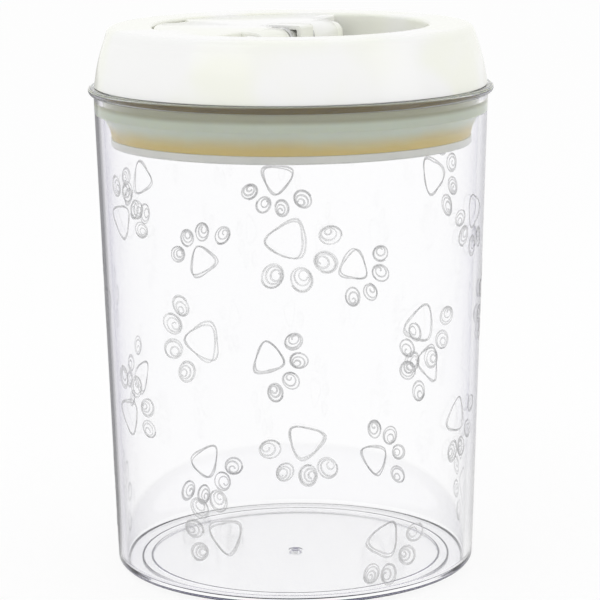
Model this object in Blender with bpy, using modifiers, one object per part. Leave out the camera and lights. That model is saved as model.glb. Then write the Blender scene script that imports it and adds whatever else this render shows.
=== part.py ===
"""Airtight storage jar: a clear drafted canister with a lever-operated sealing lid.

Metres, +Z up. The origin is the centre of the foot ring, on the surface the jar stands on.
Every height below is a height above that surface. The lever's hinge runs along X, the lever
lies on the +Y side of it, and the open half of the finger well is on the -Y side.
The model is drawn closed: lever down, pressure plate up, gasket squeezed against the wall.
"""
import math

import bmesh
import bpy
from mathutils import Matrix, Vector

MM = 0.001
CLEAR = 0.3 * MM            # gap left between neighbouring pieces
SEGMENTS = 60               # round of the big turned pieces
SMALL_SEGMENTS = 24         # round of the small turned pieces
SCREW_SEGMENTS = 12         # round of the screws and their holes
MERGE = 0.00001

# Jar
JAR_BASE_RADIUS = 56.7 * MM
JAR_SHOULDER_RADIUS = 61.3 * MM
JAR_SHOULDER_HEIGHT = 150.4 * MM
JAR_HEIGHT = 152.8 * MM
JAR_WALL = 2.6 * MM
RIM_RADIUS = 63.0 * MM
RIM_EDGE = 0.9 * MM
RIM_UNDER_EDGE = 1.5 * MM
FLOOR_TOP = 3.0 * MM
FOOT_RISE = 0.8 * MM
FOOT_OUTER = 49.3 * MM
FOOT_INNER = 45.8 * MM
FOOT_EDGE = 0.5 * MM        # slope on both sides of the foot ring
FLOOR_FILLET = 1.5 * MM
BASE_FILLET = 1.8 * MM
GATE_RADIUS = 2.2 * MM
GATE_DEPTH = 0.4 * MM

# Lid cover
LID_SEAT = JAR_HEIGHT + CLEAR
LID_TOP = 171.3 * MM
LID_SKIRT_RADIUS = 61.1 * MM
LID_SHOULDER_RADIUS = 57.2 * MM
LID_CORNER = 2.6 * MM
LID_BULGE = 0.55 * MM       # how far the side stands out from a straight taper
LID_WALL = 2.2 * MM
LID_EDGE = 0.4 * MM

# Finger well in the cover
WELL_RADIUS = 43.0 * MM
WELL_FLOOR = 157.1 * MM
WELL_FLOOR_WALL = 2.0 * MM
WELL_RIM_ROUND = 1.0 * MM
WELL_FILLET = 1.2 * MM
WELL_HOLE_RADIUS = 11.3 * MM

# Inner housing of the lid
BASE_UNDER = 149.3 * MM
BASE_TOP = 151.7 * MM
BASE_RADIUS = 58.2 * MM
BASE_RIM_TOP = 156.0 * MM
BASE_RIM_WALL = 2.0 * MM
GUIDE_TOP = 154.9 * MM
GUIDE_BOSS_RADIUS = 9.0 * MM
GUIDE_FOOT = 142.5 * MM
GUIDE_RADIUS = 5.9 * MM

# Gasket and pressure plate
LIP_RADIUS = 58.2 * MM
LIP_TOP = 147.9 * MM
LIP_FOOT = 144.8 * MM
PLATE_RADIUS = 56.25 * MM
PLATE_TOP = 137.7 * MM
PLATE_UNDER = 135.2 * MM
PLATE_EDGE = 0.6 * MM
PLATE_DISH = 0.7 * MM
PLATE_BEAD = 3.4 * MM
PLATE_HUB = 11.0 * MM
GASKET_ROUND = 0.8 * MM
GASKET_INSET = 0.3 * MM     # how far the skirt's foot stays inside the plate's edge
GASKET_WALL = 4.0 * MM
GASKET_FOOT_WALL = 4.6 * MM
GASKET_TOP = BASE_UNDER - CLEAR
GASKET_FOOT = PLATE_TOP + CLEAR

# Lever and crank
PLATE_LIFT = 3.0 * MM
AXLE_HEIGHT = 166.2 * MM
CRANK_THROW = PLATE_LIFT / math.sqrt(2.0)
CRANK_ANGLE = math.radians(135.0)      # from +Y towards +Z, with the lever down
CRANK_PIN_RADIUS = 2.0 * MM
CRANK_PIN_HALF = 6.2 * MM
JOURNAL_RADIUS = 2.0 * MM
JOURNAL_END = 32.0 * MM
KEY_HALF = 2.0 * MM         # half width of the square part of the axle that turns with the lever
WEB_INNER = 6.0 * MM
WEB_OUTER = 8.0 * MM
WEB_RADIUS = 3.9 * MM
WEB_SHARE = 0.5             # how far out towards the crank pin the web's centre lies
LEVER_TOP = 170.9 * MM
LEVER_THICK = 3.4 * MM
LEVER_RADIUS = 42.3 * MM
LEVER_START = 4.1 * MM
LEVER_CORNER = 2.5 * MM
LEVER_EDGE = 0.7 * MM
LEVER_CORNER_TURN = 6.0     # degrees of the round edge given up to the rounded corner
SCOOP_CENTRE = 46.0 * MM
SCOOP_RADIUS = 8.5 * MM
BARREL_RADIUS = 4.5 * MM
BARREL_INNER = WEB_OUTER + CLEAR
BARREL_OUTER = 24.7 * MM
BARREL_INSET = 0.25 * MM    # how far the lever's tabs stay inside the barrels' ends
WEB_NOTCH = 3.4 * MM        # where the lever starts beside the crank's webs
ROD_NOTCH = 7.5 * MM        # where it starts over the rod's stirrup
ROD_NOTCH_HALF = 5.0 * MM

# Axle bearings
BEARING_INNER = 25.0 * MM
BEARING_OUTER = 30.0 * MM
BEARING_HALF_DEPTH = 6.5 * MM
BEARING_SHOULDER = 165.0 * MM
BEARING_LUG_RADIUS = 3.7 * MM
BEARING_SCREW_OFFSET = 4.6 * MM
BEARING_EDGE = 0.4 * MM

# Pull rod
ROD_RADIUS = 4.0 * MM
STIRRUP_HALF_WIDTH = 4.2 * MM
STIRRUP_WINDOW = CRANK_THROW + CRANK_PIN_RADIUS + CLEAR
STIRRUP_SIDE = 1.4 * MM
STIRRUP_BAR = 1.2 * MM
STIRRUP_CORNER = 1.0 * MM
WINDOW_CORNER = 0.5 * MM

# Return spring and rod seal
SPRING_RADIUS = 7.2 * MM
SPRING_WIRE = 0.55 * MM
SPRING_TURNS = 5
SPRING_POINTS = 10
SEAL_RING = 5.25 * MM
SEAL_CORD = 0.85 * MM
SEAL_SEAT = 152.6 * MM
SEAL_SEAT_RADIUS = 6.4 * MM

# Fasteners
LID_SCREW_CIRCLE = 48.6 * MM
LID_SCREW_COUNT = 4
LID_SCREW_TOP = 164.0 * MM
LID_POST_RADIUS = 3.2 * MM
LID_POST_TOP = 170.0 * MM
LID_SHANK = 1.2 * MM
LID_HEAD = 2.6 * MM
BEARING_SHANK = 1.1 * MM
BEARING_HEAD = 2.2 * MM
BEARING_SCREW_TOP = 163.5 * MM
HEAD_HEIGHT = 1.6 * MM
HEAD_ROUND = 0.5 * MM
PLATE_SHANK = 1.5 * MM
PLATE_HOLE = 1.9 * MM
PLATE_HEAD = 2.8 * MM
PLATE_SCREW_TOP = 147.0 * MM
WASHER_RADIUS = 5.0 * MM
WASHER_THICK = 1.0 * MM
CAP_RADIUS = 9.0 * MM
CAP_WALL = 1.4 * MM
CAP_FLOOR = 1.2 * MM
CAP_EDGE = 1.0 * MM


def clear_scene():
    for old in list(bpy.data.objects):
        bpy.data.objects.remove(old, do_unlink=True)


def collection(name):
    group = bpy.data.collections.new(name)
    bpy.context.scene.collection.children.link(group)
    return group


def material(name, colour, roughness, metallic=0.0, alpha=1.0):
    finish = bpy.data.materials.new(name)
    finish.use_nodes = True
    shader = finish.node_tree.nodes["Principled BSDF"]
    shader.inputs["Base Color"].default_value = (*colour, 1.0)
    shader.inputs["Roughness"].default_value = roughness
    shader.inputs["Metallic"].default_value = metallic
    shader.inputs["Alpha"].default_value = alpha
    return finish


def arc(centre, radius, start, end, steps):
    """Points on a circle's arc, angles in degrees, both ends included."""
    points = []
    for step in range(steps + 1):
        angle = math.radians(start + (end - start) * step / steps)
        points.append((centre[0] + radius * math.cos(angle), centre[1] + radius * math.sin(angle)))
    return points


def add_object(name, mesh, finish=None, parent=None, group=None):
    piece = bpy.data.objects.new(name, mesh)
    (group or PARTS).objects.link(piece)
    if finish:
        mesh.materials.append(finish)
    if parent:
        piece.parent = parent
        piece.matrix_parent_inverse = parent.matrix_world.inverted()
    return piece


def turned(name, profile, finish=None, parent=None, group=None, segments=SEGMENTS, ring=False):
    """A profile of (radius, height) points turned about Z. A ring's profile closes on itself."""
    mesh = bpy.data.meshes.new(name)
    vertices = [(radius, 0.0, height) for radius, height in profile]
    edges = [(index, index + 1) for index in range(len(profile) - 1)]
    if ring:
        edges.append((len(profile) - 1, 0))
    mesh.from_pydata(vertices, edges, [])
    piece = add_object(name, mesh, finish, parent, group)
    screw = piece.modifiers.new("turn", "SCREW")
    screw.axis = "Z"
    screw.angle = math.tau
    screw.steps = segments
    screw.render_steps = segments
    screw.use_merge_vertices = True
    screw.merge_threshold = MERGE
    screw.use_smooth_shade = True
    return piece


def cylinder(name, radius, low, high, finish=None, parent=None, group=None, sides=SMALL_SEGMENTS):
    """A solid cylinder between two points on its axis."""
    low = Vector(low)
    high = Vector(high)
    direction = high - low
    turn = Vector((0.0, 0.0, 1.0)).rotation_difference(direction).to_matrix().to_4x4()
    place = Matrix.Translation((low + high) / 2.0) @ turn
    mesh = bpy.data.meshes.new(name)
    bm = bmesh.new()
    bmesh.ops.create_cone(bm, cap_ends=True, segments=sides, radius1=radius, radius2=radius,
                          depth=direction.length, matrix=place)
    bm.to_mesh(mesh)
    bm.free()
    mesh.shade_smooth()
    mesh.set_sharp_from_angle(angle=math.radians(40.0))
    return add_object(name, mesh, finish, parent, group)


def block(name, low, high, finish=None, parent=None, group=None):
    """A box between two opposite corners."""
    low = Vector(low)
    high = Vector(high)
    mesh = bpy.data.meshes.new(name)
    bm = bmesh.new()
    size = high - low
    place = Matrix.Translation((low + high) / 2.0) @ Matrix.Diagonal((*size, 1.0))
    bmesh.ops.create_cube(bm, size=1.0, matrix=place)
    bm.to_mesh(mesh)
    bm.free()
    return add_object(name, mesh, finish, parent, group)


def plate_from_outline(name, outlines, thickness, place, finish=None, parent=None, group=None):
    """Flat outlines in a plane, filled and thickened. Later outlines are holes in the first."""
    curve = bpy.data.curves.new(name, "CURVE")
    curve.dimensions = "2D"
    curve.fill_mode = "BOTH"
    curve.extrude = thickness / 2.0
    for outline in outlines:
        spline = curve.splines.new("POLY")
        spline.points.add(len(outline) - 1)
        for point, (across, up) in zip(spline.points, outline):
            point.co = (across, up, 0.0, 1.0)
        spline.use_cyclic_u = True
    drawn = bpy.data.objects.new(name + "_outline", curve)
    PARTS.objects.link(drawn)
    drawn.matrix_world = place
    bpy.context.view_layer.update()
    graph = bpy.context.evaluated_depsgraph_get()
    mesh = bpy.data.meshes.new_from_object(drawn.evaluated_get(graph))
    mesh.name = name
    bm = bmesh.new()
    bm.from_mesh(mesh)
    bmesh.ops.remove_doubles(bm, verts=bm.verts, dist=MERGE)
    bmesh.ops.recalc_face_normals(bm, faces=bm.faces)
    bm.transform(place)
    bm.to_mesh(mesh)
    bm.free()
    bpy.data.objects.remove(drawn, do_unlink=True)
    return add_object(name, mesh, finish, parent, group)


def cutter(piece):
    piece.hide_render = True
    piece.display_type = "WIRE"
    return piece


def combine(piece, tool, operation):
    step = piece.modifiers.new(operation.lower() + " " + tool.name, "BOOLEAN")
    step.operation = operation
    step.object = cutter(tool)


def soften(piece, width, segments=2):
    edge = piece.modifiers.new("rounded edges", "BEVEL")
    edge.width = width
    edge.segments = segments
    edge.limit_method = "ANGLE"
    edge.angle_limit = math.radians(40.0)


def jar_radius(height):
    """Outer radius of the drafted wall."""
    share = height / JAR_SHOULDER_HEIGHT
    return JAR_BASE_RADIUS + (JAR_SHOULDER_RADIUS - JAR_BASE_RADIUS) * share


def make_jar():
    inner_foot = FLOOR_TOP + FLOOR_FILLET
    inner_radius = jar_radius(inner_foot) - JAR_WALL
    mouth = JAR_SHOULDER_RADIUS - JAR_WALL
    outer_foot = FOOT_RISE + BASE_FILLET
    outer_radius = jar_radius(outer_foot)
    profile = [(0.0, FLOOR_TOP)]
    profile += arc((inner_radius - FLOOR_FILLET, inner_foot), FLOOR_FILLET, -90.0, 0.0, 3)
    profile += [(mouth, JAR_SHOULDER_HEIGHT)]
    profile += [(mouth, JAR_HEIGHT - CLEAR)]
    profile += [(mouth + CLEAR, JAR_HEIGHT)]
    profile += arc((RIM_RADIUS - RIM_EDGE, JAR_HEIGHT - RIM_EDGE), RIM_EDGE, 90.0, 0.0, 3)
    profile += arc((RIM_RADIUS - RIM_UNDER_EDGE, JAR_SHOULDER_HEIGHT + RIM_UNDER_EDGE), RIM_UNDER_EDGE,
                   0.0, -90.0, 3)
    profile += [(JAR_SHOULDER_RADIUS, JAR_SHOULDER_HEIGHT)]
    profile += arc((outer_radius - BASE_FILLET, outer_foot), BASE_FILLET, 0.0, -90.0, 3)
    profile += [(FOOT_OUTER, FOOT_RISE)]
    profile += [(FOOT_OUTER - FOOT_EDGE, 0.0)]
    profile += [(FOOT_INNER + FOOT_EDGE, 0.0)]
    profile += [(FOOT_INNER, FOOT_RISE)]
    profile += [(GATE_RADIUS, FOOT_RISE)]
    profile += [(GATE_RADIUS, FOOT_RISE + GATE_DEPTH)]
    profile += [(0.0, FOOT_RISE + GATE_DEPTH)]
    turned("jar_body", profile, CLEAR_PLASTIC)


def cover_side(height):
    """Outer radius of the cover's gently bulged side."""
    shoulder = LID_TOP - LID_CORNER
    share = (height - LID_SEAT) / (shoulder - LID_SEAT)
    straight = LID_SKIRT_RADIUS + (LID_SHOULDER_RADIUS - LID_SKIRT_RADIUS) * share
    return straight + LID_BULGE * math.sin(math.pi * share)


def screw_places():
    """Angles of the lid's screw posts, halfway between the axes."""
    for index in range(LID_SCREW_COUNT):
        angle = math.tau * (index + 0.5) / LID_SCREW_COUNT
        yield LID_SCREW_CIRCLE * math.cos(angle), LID_SCREW_CIRCLE * math.sin(angle)


def bearing_screw_places():
    middle = (BEARING_INNER + BEARING_OUTER) / 2.0
    for side in (-1.0, 1.0):
        for depth in (-1.0, 1.0):
            yield side * middle, depth * BEARING_SCREW_OFFSET


def make_lid_cover():
    shoulder = LID_TOP - LID_CORNER
    heights = [shoulder + (LID_SEAT + LID_EDGE - shoulder) * step / 5.0 for step in range(6)]
    corner_radius = cover_side(shoulder) - LID_CORNER
    profile = arc((WELL_RADIUS + WELL_RIM_ROUND, LID_TOP - WELL_RIM_ROUND), WELL_RIM_ROUND, 180.0, 90.0, 2)
    profile += arc((corner_radius, shoulder), LID_CORNER, 90.0, 15.0, 3)
    profile += [(cover_side(height), height) for height in heights[1:]]
    profile += [(LID_SKIRT_RADIUS - LID_EDGE, LID_SEAT)]
    profile += [(LID_SKIRT_RADIUS - LID_WALL, LID_SEAT)]
    inside = [height for height in reversed(heights[1:-1])]
    profile += [(cover_side(height) - LID_WALL, height) for height in inside]
    profile += [(corner_radius, LID_TOP - LID_WALL)]
    profile += [(WELL_RADIUS + LID_WALL, LID_TOP - LID_WALL)]
    profile += [(WELL_RADIUS + LID_WALL, WELL_FLOOR - WELL_FLOOR_WALL)]
    profile += [(WELL_HOLE_RADIUS, WELL_FLOOR - WELL_FLOOR_WALL)]
    profile += [(WELL_HOLE_RADIUS, WELL_FLOOR)]
    profile += arc((WELL_RADIUS - WELL_FILLET, WELL_FLOOR + WELL_FILLET), WELL_FILLET, -90.0, 0.0, 2)
    cover = turned("lid_cover", profile, WHITE_PLASTIC, LID_FRAME, ring=True)
    for index, (across, along) in enumerate(screw_places(), start=1):
        post = cylinder(f"lid_post_{index}", LID_POST_RADIUS, (across, along, BASE_TOP + CLEAR),
                        (across, along, LID_POST_TOP), group=CUTTERS, sides=SCREW_SEGMENTS)
        combine(cover, post, "UNION")
        bore = cylinder(f"lid_post_bore_{index}", LID_SHANK + CLEAR, (across, along, BASE_TOP),
                        (across, along, LID_SCREW_TOP + CLEAR), group=CUTTERS, sides=SCREW_SEGMENTS)
        combine(cover, bore, "DIFFERENCE")
    for index, (across, along) in enumerate(bearing_screw_places(), start=1):
        bore = cylinder(f"well_bore_{index}", BEARING_SHANK + CLEAR,
                        (across, along, WELL_FLOOR - 2.0 * WELL_FLOOR_WALL),
                        (across, along, WELL_FLOOR + WELL_FLOOR_WALL), group=CUTTERS, sides=SCREW_SEGMENTS)
        combine(cover, bore, "DIFFERENCE")


def make_lid_base():
    profile = [
        (SEAL_SEAT_RADIUS, GUIDE_TOP),
        (GUIDE_BOSS_RADIUS, GUIDE_TOP),
        (GUIDE_BOSS_RADIUS, BASE_TOP),
        (BASE_RADIUS - BASE_RIM_WALL, BASE_TOP),
        (BASE_RADIUS - BASE_RIM_WALL, BASE_RIM_TOP),
        (BASE_RADIUS - CLEAR, BASE_RIM_TOP),
        (BASE_RADIUS - CLEAR, LID_SEAT),
        (BASE_RADIUS, LID_SEAT - 2.0 * CLEAR),
        (BASE_RADIUS, BASE_UNDER + CLEAR),
        (BASE_RADIUS - CLEAR, BASE_UNDER),
        (GUIDE_RADIUS, BASE_UNDER),
        (GUIDE_RADIUS, GUIDE_FOOT),
        (ROD_RADIUS + CLEAR, GUIDE_FOOT),
        (ROD_RADIUS + CLEAR, SEAL_SEAT),
        (SEAL_SEAT_RADIUS, SEAL_SEAT),
    ]
    base = turned("lid_base", profile, WHITE_PLASTIC, LID_FRAME, ring=True)
    for index, (across, along) in enumerate(screw_places(), start=1):
        bore = cylinder(f"base_bore_{index}", LID_SHANK + CLEAR, (across, along, BASE_UNDER - CLEAR),
                        (across, along, BASE_TOP + CLEAR), group=CUTTERS, sides=SCREW_SEGMENTS)
        combine(base, bore, "DIFFERENCE")


def make_gasket():
    skirt_radius = PLATE_RADIUS - GASKET_INSET
    profile = [
        (LIP_RADIUS - GASKET_ROUND, GASKET_TOP),
        (LIP_RADIUS, LIP_TOP),
        (LIP_RADIUS, LIP_FOOT),
        (skirt_radius, GASKET_FOOT + GASKET_ROUND),
        (skirt_radius - GASKET_ROUND, GASKET_FOOT),
        (skirt_radius - GASKET_FOOT_WALL, GASKET_FOOT),
        (LIP_RADIUS - GASKET_WALL, LIP_FOOT),
        (skirt_radius - GASKET_WALL, GASKET_TOP),
    ]
    turned("gasket", profile, SILICONE, LID_FRAME, ring=True)


def make_return_spring():
    low = GASKET_FOOT + SPRING_WIRE
    high = BASE_UNDER - CLEAR - SPRING_WIRE
    curve = bpy.data.curves.new("return_spring", "CURVE")
    curve.dimensions = "3D"
    curve.bevel_depth = SPRING_WIRE
    curve.bevel_resolution = 1
    curve.use_fill_caps = True
    spline = curve.splines.new("POLY")
    count = SPRING_TURNS * SPRING_POINTS + 1
    spline.points.add(count - 1)
    route = []
    for index, point in enumerate(spline.points):
        angle = math.tau * index / SPRING_POINTS
        height = low + (high - low) * index / (count - 1)
        route.append(Vector((SPRING_RADIUS * math.cos(angle), SPRING_RADIUS * math.sin(angle), height)))
        point.co = (*route[-1], 1.0)
    curve.materials.append(STEEL)
    spring = bpy.data.objects.new("return_spring", curve)
    PARTS.objects.link(spring)
    spring.parent = LID_FRAME
    spring.matrix_parent_inverse = LID_FRAME.matrix_world.inverted()
    least = min((route[later] - route[first]).length
                for first in range(count) for later in range(first + SPRING_POINTS // 2, count))
    print("return spring, least gap between turns in mm:", round((least - 2.0 * SPRING_WIRE) / MM, 2))


def make_rod_seal():
    height = SEAL_SEAT + CLEAR + SEAL_CORD
    profile = arc((SEAL_RING, height), SEAL_CORD, 0.0, -315.0, 7)
    turned("rod_seal", profile, RUBBER, LID_FRAME, segments=SMALL_SEGMENTS, ring=True)


def screw_profile(shank, head, head_foot, head_top, tip):
    """Pan head below, shank above, so the screw is driven in from underneath."""
    return [
        (0.0, tip),
        (shank - CLEAR, tip),
        (shank, tip - 2.0 * CLEAR),
        (shank, head_top),
        (head, head_top),
        (head, head_foot + HEAD_ROUND),
        (head - HEAD_ROUND, head_foot),
        (0.0, head_foot),
    ]


def make_lid_screws():
    head_top = BASE_UNDER - CLEAR
    profile = screw_profile(LID_SHANK, LID_HEAD, head_top - HEAD_HEIGHT, head_top, LID_SCREW_TOP)
    for index, (across, along) in enumerate(screw_places(), start=1):
        piece = turned(f"lid_screw_{index}", profile, STEEL, LID_FRAME, segments=SCREW_SEGMENTS)
        piece.location = (across, along, 0.0)


def bearing_outline():
    """Broad foot with a round lug over it, in (depth, height) about the axle."""
    foot = WELL_FLOOR + CLEAR - AXLE_HEIGHT
    shoulder = BEARING_SHOULDER - AXLE_HEIGHT
    outline = [(-BEARING_LUG_RADIUS, shoulder), (-BEARING_HALF_DEPTH, shoulder)]
    outline += [(-BEARING_HALF_DEPTH, foot), (BEARING_HALF_DEPTH, foot)]
    outline += [(BEARING_HALF_DEPTH, shoulder), (BEARING_LUG_RADIUS, shoulder)]
    return outline + arc((0.0, 0.0), BEARING_LUG_RADIUS, 0.0, 180.0, 12)


def make_bearings():
    for name, side in (("axle_bearing_left", -1.0), ("axle_bearing_right", 1.0)):
        inner = side * BEARING_INNER
        outer = side * BEARING_OUTER
        middle = (inner + outer) / 2.0
        piece = plate_from_outline(name, [bearing_outline()], BEARING_OUTER - BEARING_INNER,
                                   facing_x(middle, AXLE_HEIGHT), WHITE_PLASTIC, LID_FRAME)
        soften(piece, BEARING_EDGE, 1)
        bore = cylinder(name + "_bore", JOURNAL_RADIUS + CLEAR, (inner - side * MM, 0.0, AXLE_HEIGHT),
                        (outer + side * MM, 0.0, AXLE_HEIGHT), group=CUTTERS)
        combine(piece, bore, "DIFFERENCE")
        for index, depth in enumerate((-1.0, 1.0), start=1):
            along = depth * BEARING_SCREW_OFFSET
            hole = cylinder(f"{name}_hole_{index}", BEARING_SHANK + CLEAR, (middle, along, WELL_FLOOR),
                            (middle, along, BEARING_SCREW_TOP + CLEAR), group=CUTTERS, sides=SCREW_SEGMENTS)
            combine(piece, hole, "DIFFERENCE")
    head_top = WELL_FLOOR - WELL_FLOOR_WALL - CLEAR
    profile = screw_profile(BEARING_SHANK, BEARING_HEAD, head_top - HEAD_HEIGHT, head_top,
                            BEARING_SCREW_TOP)
    for index, (across, along) in enumerate(bearing_screw_places(), start=1):
        piece = turned(f"bearing_screw_{index}", profile, STEEL, LID_FRAME, segments=SCREW_SEGMENTS)
        piece.location = (across, along, 0.0)


def rounded_corner(corner, before, after, radius, steps=4):
    """Points that round one corner of an outline."""
    corner = Vector(corner)
    back = (Vector(before) - corner).normalized()
    ahead = (Vector(after) - corner).normalized()
    half = back.angle(ahead) / 2.0
    centre = corner + (back + ahead).normalized() * radius / math.sin(half)
    first = corner + back * radius / math.tan(half) - centre
    last = corner + ahead * radius / math.tan(half) - centre
    points = []
    for step in range(steps + 1):
        blend = first.lerp(last, step / steps).normalized() * radius + centre
        points.append((blend.x, blend.y))
    return points


def lever_outline():
    """Half disc: a finger scoop in its round edge, room for crank and rod in its straight edge."""
    reach = math.sqrt(LEVER_RADIUS ** 2 - LEVER_START ** 2)
    first = math.degrees(math.asin(LEVER_START / LEVER_RADIUS)) + LEVER_CORNER_TURN
    along = (LEVER_RADIUS ** 2 - SCOOP_RADIUS ** 2 + SCOOP_CENTRE ** 2) / (2.0 * SCOOP_CENTRE)
    across = math.sqrt(LEVER_RADIUS ** 2 - along ** 2)
    meet = math.degrees(math.atan2(along, across))
    dip = math.degrees(math.atan2(along - SCOOP_CENTRE, across))
    right = arc((0.0, 0.0), LEVER_RADIUS, first, meet, 9)
    scoop = arc((0.0, SCOOP_CENTRE), SCOOP_RADIUS, dip, -180.0 - dip, 8)
    left = [(-x, y) for x, y in reversed(right)]
    corner_right = rounded_corner((reach, LEVER_START), (0.0, LEVER_START), right[0], LEVER_CORNER)
    corner_left = [(-x, y) for x, y in reversed(corner_right)]
    inner = BARREL_INNER + BARREL_INSET
    outer = BARREL_OUTER - BARREL_INSET
    hinge_left = [(-outer, LEVER_START), (-outer, BARREL_INSET), (-inner, BARREL_INSET)]
    hinge_left += [(-inner, WEB_NOTCH), (-ROD_NOTCH_HALF, WEB_NOTCH), (-ROD_NOTCH_HALF, ROD_NOTCH)]
    hinge_right = [(-x, y) for x, y in reversed(hinge_left)]
    hinge = corner_left + hinge_left + hinge_right + corner_right
    return hinge + right[1:] + scoop[1:-1] + left[:-1]


def facing_x(place_x, height):
    """Places an outline drawn in (Y, Z) at a given X."""
    turn = Matrix(((0.0, 0.0, 1.0), (1.0, 0.0, 0.0), (0.0, 1.0, 0.0))).to_4x4()
    return Matrix.Translation((place_x, 0.0, height)) @ turn


def make_lever():
    middle = LEVER_TOP - LEVER_THICK / 2.0
    lever = plate_from_outline("flip_lever", [lever_outline()], LEVER_THICK,
                               Matrix.Translation((0.0, 0.0, middle)), WHITE_PLASTIC, LEVER_FRAME)
    soften(lever, LEVER_EDGE)
    room = KEY_HALF + CLEAR
    for name, side in (("left", -1.0), ("right", 1.0)):
        inner = side * BARREL_INNER
        outer = side * BARREL_OUTER
        barrel = cylinder("barrel_" + name, BARREL_RADIUS, (inner, 0.0, AXLE_HEIGHT),
                          (outer, 0.0, AXLE_HEIGHT), group=CUTTERS)
        combine(lever, barrel, "UNION")
        low = (min(inner, outer) - MM, -room, AXLE_HEIGHT - 2.0 * BARREL_RADIUS)
        high = (max(inner, outer) + MM, room, AXLE_HEIGHT + room)
        combine(lever, block("key_slot_" + name, low, high, group=CUTTERS), "DIFFERENCE")


def make_cam_axle():
    pin_depth = CRANK_THROW * math.cos(CRANK_ANGLE)
    pin_height = AXLE_HEIGHT + CRANK_THROW * math.sin(CRANK_ANGLE)
    axle = cylinder("cam_axle", CRANK_PIN_RADIUS, (-CRANK_PIN_HALF, pin_depth, pin_height),
                    (CRANK_PIN_HALF, pin_depth, pin_height), STEEL, LEVER_FRAME)
    web_depth = pin_depth * WEB_SHARE
    web_height = AXLE_HEIGHT + (pin_height - AXLE_HEIGHT) * WEB_SHARE
    for name, side in (("left", -1.0), ("right", 1.0)):
        web = cylinder("web_" + name, WEB_RADIUS, (side * WEB_INNER, web_depth, web_height),
                       (side * WEB_OUTER, web_depth, web_height), group=CUTTERS)
        combine(axle, web, "UNION")
        inner = side * (WEB_INNER + WEB_OUTER) / 2.0
        outer = side * (BARREL_OUTER - CLEAR)
        low = (min(inner, outer), -KEY_HALF, AXLE_HEIGHT - KEY_HALF)
        high = (max(inner, outer), KEY_HALF, AXLE_HEIGHT + KEY_HALF)
        combine(axle, block("key_" + name, low, high, group=CUTTERS), "UNION")
        journal = cylinder("journal_" + name, JOURNAL_RADIUS, (outer - side * MM, 0.0, AXLE_HEIGHT),
                           (side * JOURNAL_END, 0.0, AXLE_HEIGHT), group=CUTTERS, sides=SCREW_SEGMENTS)
        combine(axle, journal, "UNION")


def box_outline(half_width, low, high, rounding):
    corners = [(-half_width, low), (half_width, low), (half_width, high), (-half_width, high)]
    points = []
    for index, corner in enumerate(corners):
        points += rounded_corner(corner, corners[index - 1], corners[(index + 1) % 4], rounding, 3)
    return points


def make_pull_rod():
    pin_height = AXLE_HEIGHT + CRANK_THROW * math.sin(CRANK_ANGLE)
    window_high = pin_height + CRANK_PIN_RADIUS + CLEAR
    window_low = pin_height - CRANK_PIN_RADIUS - CLEAR
    outer = box_outline(STIRRUP_WINDOW + STIRRUP_SIDE, window_low - STIRRUP_BAR,
                        window_high + STIRRUP_BAR, STIRRUP_CORNER)
    window = box_outline(STIRRUP_WINDOW, window_low, window_high, WINDOW_CORNER)
    rod = plate_from_outline("pull_rod", [outer, window], 2.0 * STIRRUP_HALF_WIDTH,
                             facing_x(0.0, 0.0), WHITE_PLASTIC, PLATE_FRAME)
    stem = cylinder("rod_stem", ROD_RADIUS, (0.0, 0.0, PLATE_TOP + CLEAR),
                    (0.0, 0.0, window_low - STIRRUP_BAR / 2.0), group=CUTTERS)
    combine(rod, stem, "UNION")
    bore = cylinder("rod_bore", PLATE_SHANK + CLEAR, (0.0, 0.0, PLATE_TOP),
                    (0.0, 0.0, PLATE_SCREW_TOP + CLEAR), group=CUTTERS, sides=SCREW_SEGMENTS)
    combine(rod, bore, "DIFFERENCE")


def make_pressure_plate():
    bead = PLATE_RADIUS - PLATE_BEAD
    profile = [
        (PLATE_HOLE, PLATE_TOP),
        (PLATE_RADIUS - PLATE_EDGE, PLATE_TOP),
        (PLATE_RADIUS, PLATE_TOP - PLATE_EDGE),
        (PLATE_RADIUS, PLATE_UNDER + PLATE_EDGE),
        (PLATE_RADIUS - PLATE_EDGE, PLATE_UNDER),
        (bead, PLATE_UNDER),
        (bead - PLATE_DISH, PLATE_UNDER + PLATE_DISH),
        (PLATE_HUB + PLATE_DISH, PLATE_UNDER + PLATE_DISH),
        (PLATE_HUB, PLATE_UNDER),
        (PLATE_HOLE, PLATE_UNDER),
    ]
    turned("pressure_plate", profile, PALE_PLASTIC, PLATE_FRAME, ring=True)


def make_plate_fasteners():
    washer_top = PLATE_UNDER - CLEAR
    washer_under = washer_top - WASHER_THICK
    washer = [
        (PLATE_HOLE, washer_top),
        (WASHER_RADIUS, washer_top),
        (WASHER_RADIUS, washer_under),
        (PLATE_HOLE, washer_under),
    ]
    turned("plate_washer", washer, STEEL, PLATE_FRAME, segments=SMALL_SEGMENTS, ring=True)
    head_top = washer_under - CLEAR
    head_foot = head_top - HEAD_HEIGHT
    profile = screw_profile(PLATE_SHANK, PLATE_HEAD, head_foot, head_top, PLATE_SCREW_TOP)
    turned("plate_screw", profile, STEEL, PLATE_FRAME, segments=SCREW_SEGMENTS)
    cap_inside = head_foot - CLEAR
    cap_under = cap_inside - CAP_FLOOR
    cap = [(0.0, cap_inside), (CAP_RADIUS - CAP_WALL, cap_inside)]
    cap += [(CAP_RADIUS - CAP_WALL, washer_top), (CAP_RADIUS, washer_top)]
    cap += arc((CAP_RADIUS - CAP_EDGE, cap_under + CAP_EDGE), CAP_EDGE, 0.0, -90.0, 2)
    cap += [(0.0, cap_under)]
    turned("plate_cap", cap, PALE_PLASTIC, PLATE_FRAME, segments=SMALL_SEGMENTS)


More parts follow.
